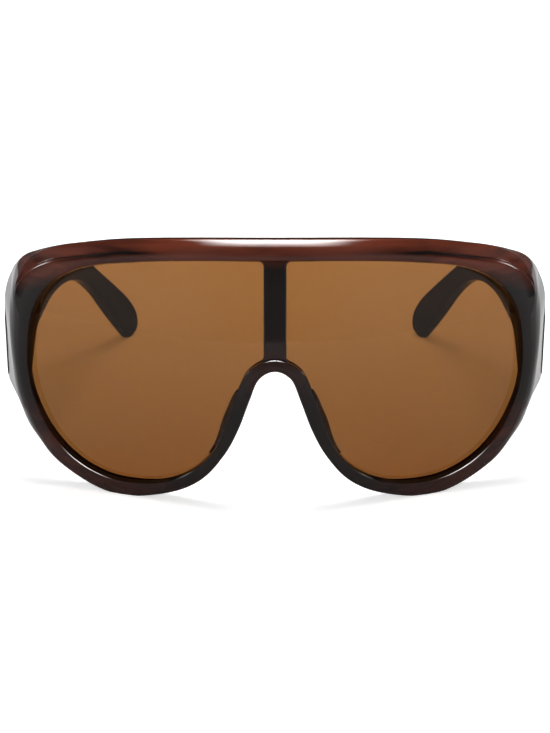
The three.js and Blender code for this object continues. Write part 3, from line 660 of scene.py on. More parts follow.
def nose_pad():
    low = place_where(1, PAD_LOW, PAD_FIRST_SECTION, LAST_SECTION)
    high = place_where(1, PAD_HIGH, PAD_FIRST_SECTION, LAST_SECTION)
    base = RIM_BACK - FIT_GAP
    rings = []
    for i in range(PAD_STEPS + 1):
        share = (1 - math.cos(math.pi * i / PAD_STEPS)) / 2
        rim = RimPlace(mix(low, high, share))
        swell = math.sin(math.pi * mix(*PAD_SWELL_RUN, share)) ** mix(*PAD_SWELL_POWER, share)
        depth = PAD_EDGE_DEPTH + (PAD_DEPTH - PAD_EDGE_DEPTH) * swell * mix(*PAD_DEPTH_SHARE, share)
        lean = PAD_OVERHANG * swell * mix(*PAD_OVERHANG_SHARE, share)
        end_margin = rim.width * mix(*PAD_END_MARGIN, share)
        margin = mix(end_margin, PAD_MARGIN, clamp(swell * PAD_MARGIN_FADE))
        spots = [
            (margin, 0, PAD_BASE_CUT),
            (rim.width - margin, 0, PAD_BASE_CUT),
            (rim.width - margin, depth * PAD_FLANK, PAD_CUT),
        ]
        for wide, over, deep in PAD_CREST:
            spots.append((rim.width * wide - lean * over, depth * deep, PAD_CUT))
        spots.append((PAD_MARGIN - lean * PAD_HOLLOW[0], depth * PAD_HOLLOW[1], PAD_CUT))
        rings.append(eased([(rim.at(d, base - b), cut, PAD_ROUND_STEPS) for d, b, cut in spots]))
    piece = loft("right_nose_pad_ridge", rings)
    smooth(piece, PAD_SHARP)
    return piece


def temple_inner_x(behind):
    start, end, inward, power = TEMPLE_BEND
    run = max(behind - start, 0) / (end - start)
    return END_PIECE_INNER_X - inward * run ** power


def temple_ring(place, inset=0.0, behind=0.0):
    sizes = [run_through(c, place) for c in TEMPLE_COLUMNS]
    lower, upper = Vector(sizes[0:2]), Vector(sizes[2:4])
    height = (upper - lower).length
    share = place / TEMPLE_LAST
    thick = mix(TEMPLE_FRONT_THICKNESS, TEMPLE_TIP_THICKNESS, share ** TEMPLE_TAPER_POWER)
    crown = min(TEMPLE_CROWN, height * TEMPLE_CROWN_SHARE)
    faded = clamp(upper.x / TEMPLE_SHOULDER_END)
    shoulder = mix(TEMPLE_SHOULDER_WIDTH, crown, faded)
    shoulder_height = mix(TEMPLE_SHOULDER_HEIGHT, height / 2, faded)

    def at(out, up):
        spot = lower.lerp(upper, up / height)
        return Vector((temple_inner_x(spot.x) + out, SEAM + spot.x + behind, spot.y))

    low, high = inset, height - inset
    edge_round = (min(TEMPLE_EDGE_ROUND, height * TEMPLE_EDGE_SHARE), TEMPLE_EDGE_STEPS)
    slope = []
    for k in range(TEMPLE_SHOULDER_STEPS + 1):
        below = shoulder_height * (1 - k / TEMPLE_SHOULDER_STEPS)
        out = thick - inset - shoulder_at(below, shoulder, shoulder_height)
        turn = edge_round if k == TEMPLE_SHOULDER_STEPS else TEMPLE_SLOPE_ROUND
        slope.append((at(out, min(height - below, high)), *turn))
    return eased([
        (at(inset, low), *edge_round),
        (at(thick - crown * faded - inset, low), *edge_round),
        *slope,
        (at(inset, high), *edge_round),
    ])


def temple():
    rings = [temple_ring(0, inset, behind) for inset, behind in TEMPLE_END_RINGS]
    rings += [temple_ring(i / TEMPLE_STEPS) for i in range(1, TEMPLE_LAST * TEMPLE_STEPS + 1)]
    piece = loft("right_temple_blade", rings)
    rest_on_table(piece)
    smooth(piece, TEMPLE_SHARP)
    return piece


# Hinge pieces, drawn about the pin's middle with the pin along z, then moved into place
def turned(name, profile):
    bm = bmesh.new()
    rows = []
    for k in range(ROUND_SIDES):
        angle = 2 * math.pi * k / ROUND_SIDES
        c, s = math.cos(angle) * MM, math.sin(angle) * MM
        rows.append([bm.verts.new((r * c, r * s, z * MM)) for r, z in profile])
    for k in range(ROUND_SIDES):
        here, there = rows[k], rows[(k + 1) % ROUND_SIDES]
        for j in range(len(profile) - 1):
            bm.faces.new((here[j], there[j], there[j + 1], here[j + 1]))
    for j, turn in ((0, -1), (-1, 1)):
        bm.faces.new([row[j] for row in rows][::turn])
    return new_piece(name, bm)


def slab(name, outline, low, high, to_point):
    bm = bmesh.new()
    bottom = [bm.verts.new(to_point(u, v, low) * MM) for u, v in outline]
    top = [bm.verts.new(to_point(u, v, high) * MM) for u, v in outline]
    count = len(outline)
    for i in range(count):
        j = (i + 1) % count
        bm.faces.new((bottom[i], bottom[j], top[j], top[i]))
    bm.faces.new(bottom[::-1])
    bm.faces.new(top)
    return new_piece(name, bm)


def barrel(name, radius, bottom, top, chamfer=0.0):
    if not chamfer:
        return turned(name, ((radius, bottom), (radius, top)))
    return turned(name, (
        (radius - chamfer, bottom), (radius, bottom + chamfer),
        (radius, top - chamfer), (radius - chamfer, top),
    ))


def sideways(piece, y, z):
    piece.data.transform(Matrix.Rotation(math.pi / 2, 4, "Y"))
    piece.data.transform(Matrix.Translation(Vector((0, y, z)) * MM))
    return piece


def break_edges(piece):
    rounding = piece.modifiers.new("broken_edges", "BEVEL")
    rounding.width = BROKEN_EDGE * MM
    rounding.segments = BROKEN_EDGE_STEPS
    rounding.limit_method = "ANGLE"
    rounding.angle_limit = math.radians(BROKEN_EDGE_ANGLE)
    rounding.use_clamp_overlap = True
    bake_modifiers(piece)


def leaf_outline():
    half = LEAF_HEIGHT / 2
    middle = LEAF_START + LEAF_LENGTH - LEAF_CORNER
    outline = [(LEAF_START, -half)]
    for turn in (-1, 1):
        level = turn * (half - LEAF_CORNER)
        arc = []
        for k in range(ARC_STEPS + 1):
            angle = math.pi / 2 * k / ARC_STEPS
            arc.append((middle + LEAF_CORNER * math.sin(angle), level + turn * LEAF_CORNER * math.cos(angle)))
        outline += arc if turn < 0 else arc[::-1]
    return outline + [(LEAF_START, half)]


def hinge_leaf(name, direction, levels):
    def in_leaf(u, v, x):
        return Vector((x, direction * u, v))

    inside, outside = KNUCKLE_RADIUS - LEAF_THICKNESS, KNUCKLE_RADIUS
    leaf = slab(name, leaf_outline(), inside, outside, in_leaf)
    far = LEAF_START + TONGUE_OVERLAP
    for level in levels:
        middle = level * KNUCKLE_PITCH
        low, high = middle - KNUCKLE_LENGTH / 2, middle + KNUCKLE_LENGTH / 2
        cut_or_join(leaf, barrel("knuckle", KNUCKLE_RADIUS, low, high, KNUCKLE_CHAMFER), "UNION")
        bottom, top = low + TONGUE_INSET, high - TONGUE_INSET
        tongue = ((0, bottom), (far, bottom), (far, top), (0, top))
        cut_or_join(leaf, slab("tongue", tongue, inside, outside - TONGUE_SUNK, in_leaf), "UNION")
    cut_or_join(leaf, barrel("bore", BORE_RADIUS, -LEAF_HEIGHT, LEAF_HEIGHT), "DIFFERENCE")
    for z in (-FIXING_SPACING / 2, FIXING_SPACING / 2):
        hole = sideways(barrel("hole", BORE_RADIUS, 0, HOLE_DEPTH), direction * FIXING_Y, z)
        cut_or_join(leaf, hole, "DIFFERENCE")
    break_edges(leaf)
    smooth(leaf, LEAF_SHARP)
    return leaf


# A slotted screw: shank, then a domed head, along z with the head's underside at z = 0
def screw(name, shank_radius, shank_length, head_radius, head_height):
    profile = [
        (shank_radius - SHANK_CHAMFER, -shank_length),
        (shank_radius, -shank_length + SHANK_CHAMFER),
        (shank_radius, 0),
        (head_radius - HEAD_CHAMFER, 0),
        (head_radius, HEAD_CHAMFER),
    ]
    for k in range(ARC_STEPS):
        angle = math.pi / 2 * k / ARC_STEPS
        share = HEAD_WALL + (1 - HEAD_WALL) * math.sin(angle)
        profile.append((head_radius * math.cos(angle), head_height * share))
    piece = turned(name, profile + [(HEAD_FLAT, head_height)])
    wide = head_radius * SLOT_REACH
    thin = head_radius * SLOT_HALF_WIDTH
    slot = ((-wide, -thin), (wide, -thin), (wide, thin), (-wide, thin))
    deep = head_height * SLOT_FLOOR
    cutter = slab("slot", slot, deep, head_height * 2, lambda u, v, w: Vector((u, v, w)))
    cut_or_join(piece, cutter, "DIFFERENCE")
    smooth(piece, SCREW_SHARP)
    return piece


# Nodes of the materials, the lamps and the room. An input is a socket to link or a value to set.
def feed(tree, made, inputs):
    for key, given in inputs.items():
        if isinstance(given, bpy.types.NodeSocket):
            tree.links.new(given, made.inputs[key])
        else:
            made.inputs[key].default_value = given


def node(tree, kind, inputs=None, **settings):
    made = tree.nodes.new(kind)
    for key, value in settings.items():
        setattr(made, key, value)
    feed(tree, made, inputs or {})
    return made


def reckon(tree, operation, *terms, clamped=False):
    made = node(tree, "ShaderNodeMath", dict(enumerate(terms)), operation=operation, use_clamp=clamped)
    return made.outputs[0]


def product(tree, first, *others):
    for other in others:
        first = reckon(tree, "MULTIPLY", first, other)
    return first


# A value that goes from low to high while its source goes from start to end
def passage(tree, source, start, end, low=0.0, high=1.0, easing="SMOOTHSTEP"):
    inputs = {"Value": source, "From Min": start, "From Max": end, "To Min": low, "To Max": high}
    return node(tree, "ShaderNodeMapRange", inputs, interpolation_type=easing).outputs["Result"]


def coordinates(tree):
    return node(tree, "ShaderNodeTexCoord").outputs


def axes(tree, vector):
    return node(tree, "ShaderNodeSeparateXYZ", {"Vector": vector}).outputs


def noise(tree, place, scale, detail, roughness, distortion=0.0):
    inputs = {"Scale": scale, "Detail": detail, "Roughness": roughness, "Distortion": distortion}
    return node(tree, "ShaderNodeTexNoise", {"Vector": place, **inputs}).outputs["Fac"]


def stretched_noise(tree, place, stretch, turn, **sizes):
    spread = node(tree, "ShaderNodeMapping", {"Vector": place, "Scale": stretch, "Rotation": turn})
    return noise(tree, spread.outputs[0], **sizes)


def ramp(tree, source, stops):
    made = node(tree, "ShaderNodeValToRGB", {"Fac": source})
    for element, (position, shade) in zip(made.color_ramp.elements, stops):
        element.position = position
        element.color = (*shade, 1)
    return made.outputs["Color"]


def group_tree(name, inputs, outputs):
    tree = bpy.data.node_groups.new(name, "ShaderNodeTree")
    for label, kind, value in inputs:
        socket = tree.interface.new_socket(label, in_out="INPUT", socket_type=kind)
        socket.default_value = value
    for label, kind in outputs:
        tree.interface.new_socket(label, in_out="OUTPUT", socket_type=kind)
    return tree, tree.nodes.new("NodeGroupInput").outputs, tree.nodes.new("NodeGroupOutput")


FLOAT = "NodeSocketFloat"
COLOUR = "NodeSocketColor"
BLACK = (0, 0, 0)
WHITE = (1, 1, 1)


# Fine polishing marks and specks of dust: a roughness and a height that change over the surface
def handling_marks():
    tree, given, out = group_tree(
        "handling_marks",
        (("Roughness", FLOAT, 0.1), ("Marks", FLOAT, 0.05), ("Scale", FLOAT, 1.0)),
        (("Roughness", FLOAT), ("Height", FLOAT)),
    )
    place = coordinates(tree)["Object"]
    sized = node(
        tree, "ShaderNodeVectorMath", {"Vector": place, "Scale": given["Scale"]}, operation="SCALE"
    ).outputs[0]
    fine = stretched_noise(
        tree, sized, stretch=(1.0, 9.0, 1.0), turn=(0.4, 0.2, 0.9), scale=420.0, detail=4.0, roughness=0.6,
    )
    cloud = noise(tree, sized, scale=60.0, detail=3.0, roughness=0.55)
    marks = ramp(tree, fine, ((0.42, BLACK), (0.72, WHITE)))
    patches = ramp(tree, cloud, ((0.35, BLACK), (0.7, WHITE)))
    both = reckon(tree, "MULTIPLY_ADD", marks, patches, patches)
    rough = reckon(tree, "MULTIPLY_ADD", both, given["Marks"], given["Roughness"])
    feed(tree, out, {"Roughness": rough, "Height": fine})
    return tree


# Range that most values of a noise lie in
NOISE_RANGE = (0.3, 0.7)

# Pigment of the moulding, with painted light and painted shade, in metres. A line along the brow is a height
# that falls with the square of the distance from the middle, and ranges across the front are such squares.
BROW_FALL = 2.2
# Painted shade in a dark band along the crease
CREASE_LEVEL = 0.0728
MIDDLE_FALL = 0.8
MIDDLE_CREASE_LEVEL = 0.0704
CREASE_REACH = (0.0008, 0.0001)
CREASE_SHADE = 0.85
CREASE_INNER_END = (0.0006, 0.0017)
CREASE_OUTER_END = (0.004, 0.0028)
# Painted shade: the brow's face darkens down to the crease along its length
FACE_FADE_HEIGHT = (0.0021, 0.0)
FACE_FADE_ACROSS = (0.0028, 0.0012)
FACE_FADE = 0.33
# Painted light gets further down at the corners and in the middle, where the streaks even out too
CORNER_GLOW_FALL = 0.4
MIDDLE_GLOW_ACROSS = (0.0017, 0.0003)
MIDDLE_GLOW_DROP = 0.0018
MIDDLE_EVENNESS = 0.4
# Faint painted light in the lower rims' faces and in the bridge
LOW_RIM_HEIGHT = (0.03, 0.01)
FORWARD_FACING = (-0.35, -0.75)
BRIDGE_MIDDLE = (0.0, -0.078, 0.0385)
BRIDGE_REACH = (0.013, 0.004)
BRIDGE_GLOW = 0.45
# Little painted light on top of the brow and on the sides, which paints them dark
TOP_FACING = (0.96, 0.76)
TOP_GLOW = 0.06
SIDE_ACROSS = (0.0056, 0.0047)
SIDE_GLOW = 0.08
# The least painted light in a streak
STREAK_LEAST = 0.18


# Near black where the moulding is thick, with red brown painted light in soft streaks where light gets in
def pigment_with_painted_light():
    tree, given, out = group_tree(
        "pigment_with_painted_light",
        (
            ("Thick Colour", COLOUR, (0.01, 0.006, 0.005, 1)),
            ("Glow Colour", COLOUR, (0.1, 0.03, 0.015, 1)),
            ("Low", FLOAT, 0.05),
            ("High", FLOAT, 0.07),
            ("Faint Glow", FLOAT, 0.2),
        ),
        (("Colour", COLOUR),),
    )
    surface = coordinates(tree)
    place = surface["Object"]
    spot = axes(tree, place)
    facing = axes(tree, surface["Normal"])
    across = product(tree, spot["X"], spot["X"])
    along_brow = reckon(tree, "MULTIPLY_ADD", across, BROW_FALL, spot["Z"])
    middle = passage(tree, across, *MIDDLE_GLOW_ACROSS)
    off_middle = passage(tree, across, *CREASE_INNER_END)

    corner_glow_height = reckon(tree, "MULTIPLY_ADD", across, CORNER_GLOW_FALL, along_brow)
    brow_glow_height = reckon(tree, "MULTIPLY_ADD", middle, MIDDLE_GLOW_DROP, corner_glow_height)
    brow_glow = passage(tree, brow_glow_height, given["Low"], given["High"])

    # Faint painted light in the lower rims and the bridge
    low_rim = passage(tree, spot["Z"], *LOW_RIM_HEIGHT)
    forward = passage(tree, facing["Y"], *FORWARD_FACING)
    low_side = product(tree, low_rim, forward, off_middle)
    to_bridge = node(tree, "ShaderNodeVectorMath", {0: place, 1: BRIDGE_MIDDLE}, operation="DISTANCE")
    bridge = passage(tree, to_bridge.outputs["Value"], *BRIDGE_REACH, high=BRIDGE_GLOW)
    faint = reckon(tree, "MAXIMUM", low_side, bridge)
    faint_glow = product(tree, faint, given["Faint Glow"])
    whole_glow = reckon(tree, "MAXIMUM", brow_glow, faint_glow)

    # Painted dark top edge and sides, where the painted light is held back
    below_top = passage(tree, facing["Z"], *TOP_FACING, low=TOP_GLOW)
    off_side = passage(tree, across, *SIDE_ACROSS, low=SIDE_GLOW)
    off_edges = product(tree, below_top, off_side)

    # Painted shade along the crease and down the brow's face to it
    off_side_crease = reckon(tree, "SUBTRACT", along_brow, CREASE_LEVEL)
    along_middle = reckon(tree, "MULTIPLY_ADD", across, MIDDLE_FALL, spot["Z"])
    off_middle_crease = reckon(tree, "SUBTRACT", along_middle, MIDDLE_CREASE_LEVEL)
    off_crease = reckon(tree, "MAXIMUM", off_side_crease, off_middle_crease)
    down_face = passage(tree, off_crease, *FACE_FADE_HEIGHT)
    long_brow = passage(tree, across, *FACE_FADE_ACROSS, high=FACE_FADE)
    face_fade = product(tree, down_face, long_brow)
    near_crease = passage(tree, reckon(tree, "ABSOLUTE", off_crease), *CREASE_REACH)
    off_corner = passage(tree, across, *CREASE_OUTER_END)
    crease_shade = product(tree, off_middle, off_corner, near_crease)
    shade = reckon(tree, "MULTIPLY_ADD", crease_shade, CREASE_SHADE, face_fade, clamped=True)
    unshaded = reckon(tree, "SUBTRACT", 1.0, shade)

    # Painted light in soft streaks
    streaks = stretched_noise(
        tree, place, stretch=(0.35, 0.6, 2.2), turn=(0.0, 0.25, 0.0),
        scale=95.0, detail=3.0, roughness=0.5, distortion=0.6,
    )
    streak = passage(tree, streaks, *NOISE_RANGE, low=STREAK_LEAST, easing="LINEAR")
    even_streak = reckon(tree, "MULTIPLY_ADD", middle, MIDDLE_EVENNESS, streak, clamped=True)
    glow = product(tree, whole_glow, off_edges, unshaded, even_streak)
    colour = node(
        tree, "ShaderNodeMix", {"Factor": glow, 6: given["Thick Colour"], 7: given["Glow Colour"]},
        data_type="RGBA",
    )
    feed(tree, out, {"Colour": colour.outputs[2]})
    return tree


# Lines left by turning and rolling metal: a shade and a height that change over the surface
LINE_DARKEST = 0.72
LINE_ROUGHNESS = 0.16


def drawn_lines():
    tree, given, out = group_tree(
        "drawn_lines",
        (("Colour", COLOUR, (0.6, 0.58, 0.55, 1)), ("Roughness", FLOAT, 0.3)),
        (("Colour", COLOUR), ("Roughness", FLOAT), ("Height", FLOAT)),
    )
    place = coordinates(tree)["Object"]
    lines = stretched_noise(
        tree, place, stretch=(1.0, 1.0, 16.0), turn=(0.0, 0.0, 0.0), scale=700.0, detail=3.0, roughness=0.6,
    )
    tone = passage(tree, lines, *NOISE_RANGE, low=LINE_DARKEST, easing="LINEAR")
    colour = node(
        tree, "ShaderNodeMix", {"Factor": 1.0, 6: given["Colour"], 7: tone},
        data_type="RGBA", blend_type="MULTIPLY",
    )
    rough = reckon(tree, "MULTIPLY_ADD", lines, LINE_ROUGHNESS, given["Roughness"])
    feed(tree, out, {"Colour": colour.outputs[2], "Roughness": rough, "Height": lines})
    return tree


MARKS = handling_marks()
PIGMENT_WITH_PAINTED_LIGHT = pigment_with_painted_light()
LINES = drawn_lines()

# Bump: strengths, and the height of a mark or line in metres
MARK_STRENGTH = 0.03
LINE_STRENGTH = 0.08
BUMP_HEIGHT = 0.00002

# Lens: heights in metres where the tint with its painted shade is darkest and lightest, and the polish
TINT_SHADE_HEIGHTS = (0.004, 0.068)
LENS_MARKS = 0.012
LENS_MARK_SCALE = 0.7
LENS_IOR = 1.27


def new_material(name):
    material = bpy.data.materials.new(name)
    material.use_nodes = True
    tree = material.node_tree
    return material, tree, tree.nodes["Principled BSDF"], tree.nodes["Material Output"]


def placed_group(tree, group, values):
    return node(tree, "ShaderNodeGroup", values, node_tree=group).outputs


def add_bump(tree, height, shader, strength):
    bump = node(tree, "ShaderNodeBump", {"Strength": strength, "Distance": BUMP_HEIGHT, "Height": height})
    feed(tree, shader, {"Normal": bump.outputs["Normal"]})


# Glow is the range of heights, in metres, where the thick colour turns into the thin one, which is painted
# light
def moulded_plastic(name, thick, thin, glow, faint, rough, marks, ior, gloss=0.5):
    material, tree, shader, _ = new_material(name)
    pigment_and_light = placed_group(tree, PIGMENT_WITH_PAINTED_LIGHT, {
        "Thick Colour": (*thick, 1), "Glow Colour": (*thin, 1), "Low": glow[0], "High": glow[1],
        "Faint Glow": faint,
    })
    wear = placed_group(tree, MARKS, {"Roughness": rough, "Marks": marks, "Scale": 1.0})
    feed(tree, shader, {
        "Base Color": pigment_and_light["Colour"], "Roughness": wear["Roughness"], "IOR": ior,
        "Specular IOR Level": gloss,
    })
    add_bump(tree, wear["Height"], shader, MARK_STRENGTH)
    return material


# Clear tint with painted shade that darkens it low down, and lets tinted light through to the floor
def lens_tint(name, low, high, shadow):
    material, tree, shader, out = new_material(name)
    spot = axes(tree, coordinates(tree)["Object"])
    height = passage(tree, spot["Z"], *TINT_SHADE_HEIGHTS, easing="LINEAR")
    wear = placed_group(tree, MARKS, {"Roughness": 0.0, "Marks": LENS_MARKS, "Scale": LENS_MARK_SCALE})
    feed(tree, shader, {
        "Base Color": ramp(tree, height, ((0.0, low), (1.0, high))), "Roughness": wear["Roughness"],
        "Transmission Weight": 1.0, "IOR": LENS_IOR,
    })
    path = node(tree, "ShaderNodeLightPath").outputs
    clear = node(tree, "ShaderNodeBsdfTransparent", {"Color": (*shadow, 1)})
    either = node(tree, "ShaderNodeMixShader", {
        0: path["Is Shadow Ray"], 1: shader.outputs[0], 2: clear.outputs[0],
    })
    feed(tree, out, {"Surface": either.outputs[0]})
    return material


def drawn_metal(name, colour, rough):
    material, tree, shader, _ = new_material(name)
    lines = placed_group(tree, LINES, {"Colour": (*colour, 1), "Roughness": rough})
    feed(tree, shader, {
        "Base Color": lines["Colour"], "Roughness": lines["Roughness"], "Metallic": 1.0,
    })
    add_bump(tree, lines["Height"], shader, LINE_STRENGTH)
    return material


# The thin colours and glow ranges are painted light let into the plastic
TEMPLE_PIGMENT_WITH_LIGHT = {
    "thick": (0.007, 0.0042, 0.0034), "thin": (0.02, 0.008, 0.005), "glow": (0.045, 0.07), "faint": 0.1,
}
FRONT_PLASTIC = moulded_plastic(
    "front_plastic", thick=(0.0075, 0.0034, 0.0026), thin=(0.215, 0.044, 0.02), glow=(0.0672, 0.0732),
    faint=0.3, rough=0.05, marks=0.05, ior=1.32,
)
TEMPLE_PLASTIC = moulded_plastic("temple_plastic", **TEMPLE_PIGMENT_WITH_LIGHT, rough=0.08, marks=0.07, ior=1.32)
TEMPLE_INSIDE = moulded_plastic(
    "temple_inside", **TEMPLE_PIGMENT_WITH_LIGHT, rough=0.3, marks=0.1, ior=1.32, gloss=0.12,
)
PAD_PLASTIC = moulded_plastic(
    "pad_plastic", thick=(0.005, 0.0025, 0.002), thin=(0.01, 0.005, 0.004), glow=(0.02, 0.05),
    faint=0.0, rough=0.3, marks=0.1, ior=1.22,
)
# The low colour is the tint darkened by painted shade
LENS_TINT = lens_tint(
    "tinted_lens", low=(0.152, 0.061, 0.015), high=(0.283, 0.122, 0.034), shadow=(0.33, 0.17, 0.08),
)
HINGE_METAL = drawn_metal("hinge_metal", colour=(0.1, 0.092, 0.082), rough=0.3)
SCREW_METAL = drawn_metal("screw_metal", colour=(0.2, 0.19, 0.17), rough=0.24)

# How squarely a face of a temple looks towards the head to count as its inner side
INSIDE_FACING = 0.6


# Fits a piece to its body and material, and hides its CAD node
def fit(piece, body, slot, material, *nodes):
    piece.data.materials.clear()
    piece.data.materials.append(material)
    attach(piece, body)
    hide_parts(*nodes)


# The side of a temple that lies against the head is moulded satin
def satin_inside(piece):
    piece.data.materials.append(TEMPLE_INSIDE)
    for face in piece.data.polygons:
        if face.normal.x * face.center.x < -INSIDE_FACING * abs(face.center.x):
            face.material_index = 1


# The right hinge's pieces as (piece, label, CAD name, body, slot, material), about the pin's middle
def hinge_pieces():
    leaf_finish = ("hinge_metal", HINGE_METAL)
    screw_finish = ("screw_metal", SCREW_METAL)
    front_leaf = hinge_leaf("right_front_leaf", -1, (-1, 1))
    temple_leaf = hinge_leaf("right_temple_leaf", 1, (0,))
    pin = screw("right_pivot_screw", *PIN_SIZES)
    pin.data.transform(Matrix.Translation((0, 0, (LEAF_HEIGHT / 2 + FIT_GAP) * MM)))
    pieces = [
        (front_leaf, "front_leaf", "front_hinge_leaf", "front", *leaf_finish),
        (temple_leaf, "temple_leaf", "temple_hinge_leaf", "arm", *leaf_finish),
        (pin, "pivot_screw", "hinge_screw", "front", *screw_finish),
    ]
    face = KNUCKLE_RADIUS - LEAF_THICKNESS - FIT_GAP
    lying = Matrix.Rotation(-math.pi / 2, 4, "Y")
    for leaf, direction, body in (("front", -1, "front"), ("temple", 1, "arm")):
        for level, side in (("lower", -1), ("upper", 1)):
            label = f"{leaf}_{level}_screw"
            made = screw(f"right_{label}", *FIXING_SIZES)
            turn = lying @ Matrix.Rotation(FIXING_TURN + side * direction, 4, "Z")
            spot = Vector((face, direction * FIXING_Y, side * FIXING_SPACING / 2))
            made.data.transform(Matrix.Translation(spot * MM) @ turn)
            pieces.append((made, label, f"{leaf}_{level}_fixing_screw", body, *screw_finish))
    return pieces


def build_glasses():
    fit(front_moulding(), "front", "front_plastic", FRONT_PLASTIC, "front_frame")
    pairs = [
        (lens(), "lens_pane", "lens", "front", "tinted_lens", LENS_TINT),
        (nose_pad(), "nose_pad_ridge", "nose_pad", "front", "front_plastic", PAD_PLASTIC),
        (temple(), "temple_blade", "temple", "arm", "temple_plastic", TEMPLE_PLASTIC),
    ]
    hinge = hinge_pieces()
    for piece, *_ in hinge:
        piece.data.transform(Matrix.Translation(HINGE * MM))
    for piece, label, cad_name, body, slot, material in pairs + hinge:
        other = mirrored(piece, f"left_{label}")
        even_shading(other)
        for made, side in ((piece, "right"), (other, "left")):
            carrier = f"{side}_arm" if body == "arm" else body
            fit(made, carrier, slot, material, f"{side}_{cad_name}")
            if material == TEMPLE_PLASTIC:
                satin_inside(made)


build_glasses()

# Floor, in metres: pale, with the object's shadow, and white to the camera and through the lenses
FLOOR_REACH = 3.0
FLOOR_DROP = 0.00005
FLOOR_SHADE = 0.8
FLOOR_ROUGHNESS = 0.9
FLOOR_SEEN = 1.35
# What the gloss shows of it, from near the object to further off: dimmer near the object, a painted shadow in
# its reflections
FLOOR_GLOSS_REACH = (0.1, 0.4)
FLOOR_SHADOWED_GLOSS = 0.25
FLOOR_FAR_GLOSS = 1.1
FLOOR_LIFT_REACH = (0.15, 1.4)
FLOOR_LIFT = 0.5
FLOOR_FAR_LIFT = 0.75


def floor_finish():
    material, tree, shader, out = new_material("pale_floor")
    feed(tree, shader, {
        "Base Color": (FLOOR_SHADE, FLOOR_SHADE, FLOOR_SHADE, 1), "Roughness": FLOOR_ROUGHNESS,
        "Specular IOR Level": 0.0,
    })
    path = node(tree, "ShaderNodeLightPath").outputs
    place = coordinates(tree)["Object"]
    reach = node(tree, "ShaderNodeVectorMath", {0: place}, operation="LENGTH").outputs["Value"]
    seen = product(tree, path["Is Camera Ray"], FLOOR_SEEN)
    # Painted shadow: the floor shows dimmer in the gloss near the object
    away = passage(tree, reach, *FLOOR_GLOSS_REACH, FLOOR_SHADOWED_GLOSS, FLOOR_FAR_GLOSS)
    in_gloss = product(tree, path["Is Glossy Ray"], away)
    reached = reckon(tree, "MAXIMUM", path["Is Transmission Ray"], in_gloss)
    shown = reckon(tree, "MAXIMUM", seen, reached)
    lift = passage(tree, reach, *FLOOR_LIFT_REACH, FLOOR_LIFT, FLOOR_FAR_LIFT, easing="LINEAR")
    glow = node(tree, "ShaderNodeEmission", {"Strength": product(tree, shown, lift)})
    both = node(tree, "ShaderNodeAddShader", {0: shader.outputs[0], 1: glow.outputs[0]})
    feed(tree, out, {"Surface": both.outputs[0]})
    return material


def make_floor():
    bm = bmesh.new()
    corners = ((-1, -1), (1, -1), (1, 1), (-1, 1))
    bm.faces.new([bm.verts.new((x * FLOOR_REACH, y * FLOOR_REACH, -FLOOR_DROP)) for x, y in corners])
    floor = new_piece("floor", bm)
    floor.data.materials.append(floor_finish())


make_floor()


# Soft studio light: a box overhead that only lights, and cards that only show in the gloss
def soften_edges(lamp, softness):
    lamp.use_nodes = True
    tree = lamp.node_tree
    spot = axes(tree, coordinates(tree)["UV"])
    shades = []
    for axis, soft in zip(("X", "Y"), softness):
        from_edge = reckon(tree, "PINGPONG", spot[axis], 0.5)
        shades.append(passage(tree, from_edge, 0.0, soft))
    feed(tree, tree.nodes["Emission"], {"Strength": product(tree, *shades)})


# Place, target and size in metres. Softness is the share of a card's width and depth that fades at each edge.
def soft_box(name, place, target, size, watts, softness=None):
    lamp = bpy.data.lights.new(name, "AREA")
    lamp.shape = "RECTANGLE"
    lamp.size, lamp.size_y = size
    lamp.energy = watts
    gloss_only = softness is not None
    if gloss_only:
        soften_edges(lamp, softness)
    box = in_scene(name, lamp)
    aim(box, place, target)
    box.visible_diffuse = not gloss_only
    box.visible_glossy = gloss_only
    box.visible_transmission = not gloss_only
    box.visible_camera = False


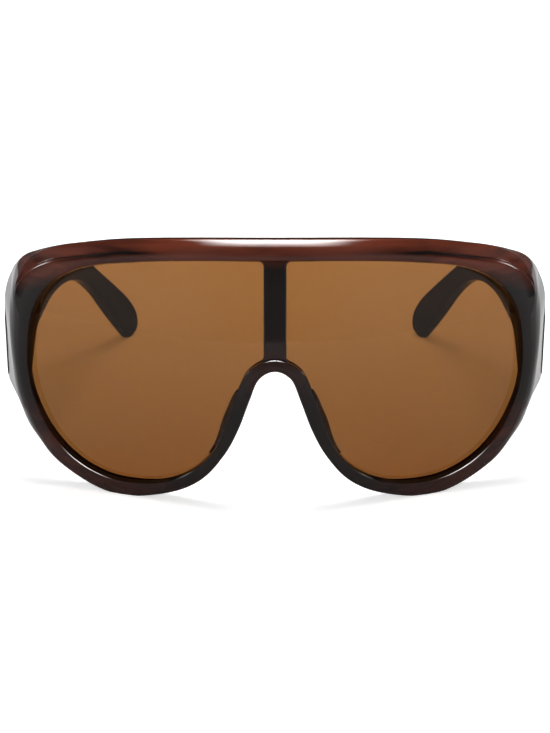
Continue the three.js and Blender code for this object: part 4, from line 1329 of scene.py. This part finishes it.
soft_box("top_box", place=(0, 0.05, 0.58), target=(0, -0.02, 0), size=(0.32, 0.26), watts=2.25)
for name, side in (("left_corner_card", -1), ("right_corner_card", 1)):
    soft_box(
        name, place=(side * 0.58, 0.05, 0.34), target=(side * 0.062, -0.065, 0.064),
        size=(0.18, 0.18), watts=4.0, softness=(0.4, 0.4),
    )
soft_box(
    "brow_card", place=(0, -0.45, 0.73), target=(0, -0.17, 0.03),
    size=(0.72, 0.68), watts=130.0, softness=(0.4, 0.2),
)

# Room: brightest low down in front, at both sides of the middle. Ranges are parts of a unit direction.
ROOM_LEVEL = 0.22
ROOM_AHEAD = 0.85
ROOM_MIDDLE = 0.35
ROOM_AHEAD_RANGE = (-0.05, -0.3)
ROOM_LOW_RANGE = (0.5, 0.2)
ROOM_SIDE_RANGE = (0.1, 0.5)


def make_room():
    room = bpy.data.worlds.new("room")
    room.use_nodes = True
    tree = room.node_tree
    way = axes(tree, coordinates(tree)["Generated"])
    ahead = passage(tree, way["Y"], *ROOM_AHEAD_RANGE)
    low = passage(tree, way["Z"], *ROOM_LOW_RANGE)
    aside = reckon(tree, "ABSOLUTE", way["X"])
    open_side = passage(tree, aside, *ROOM_SIDE_RANGE, low=ROOM_MIDDLE)
    low_front = product(tree, ahead, open_side, low)
    level = reckon(tree, "MULTIPLY_ADD", low_front, ROOM_AHEAD, ROOM_LEVEL)
    path = node(tree, "ShaderNodeLightPath").outputs
    white = reckon(tree, "MAXIMUM", path["Is Camera Ray"], path["Is Transmission Ray"])
    strength = reckon(tree, "MAXIMUM", level, white)
    feed(tree, tree.nodes["Background"], {"Strength": strength, "Color": (*WHITE, 1)})
    bpy.context.scene.world = room


make_room()

# Camera at the photograph's view
CAMERA_PLACE = Vector((0, -485.51, 182.235)) * MM
CAMERA_TARGET = Vector((0, -79.181, 41.533)) * MM
CAMERA_SENSOR = 36.0
CAMERA_LENS = 79.47
CAMERA_REACH = (0.01, 20.0)

camera = in_scene("camera", bpy.data.cameras.new("camera"))
aim(camera, CAMERA_PLACE, CAMERA_TARGET)
camera.data.sensor_width = CAMERA_SENSOR
camera.data.lens = CAMERA_LENS
camera.data.clip_start, camera.data.clip_end = CAMERA_REACH
bpy.context.scene.camera = camera
bpy.context.scene.view_settings.view_transform = "Standard"
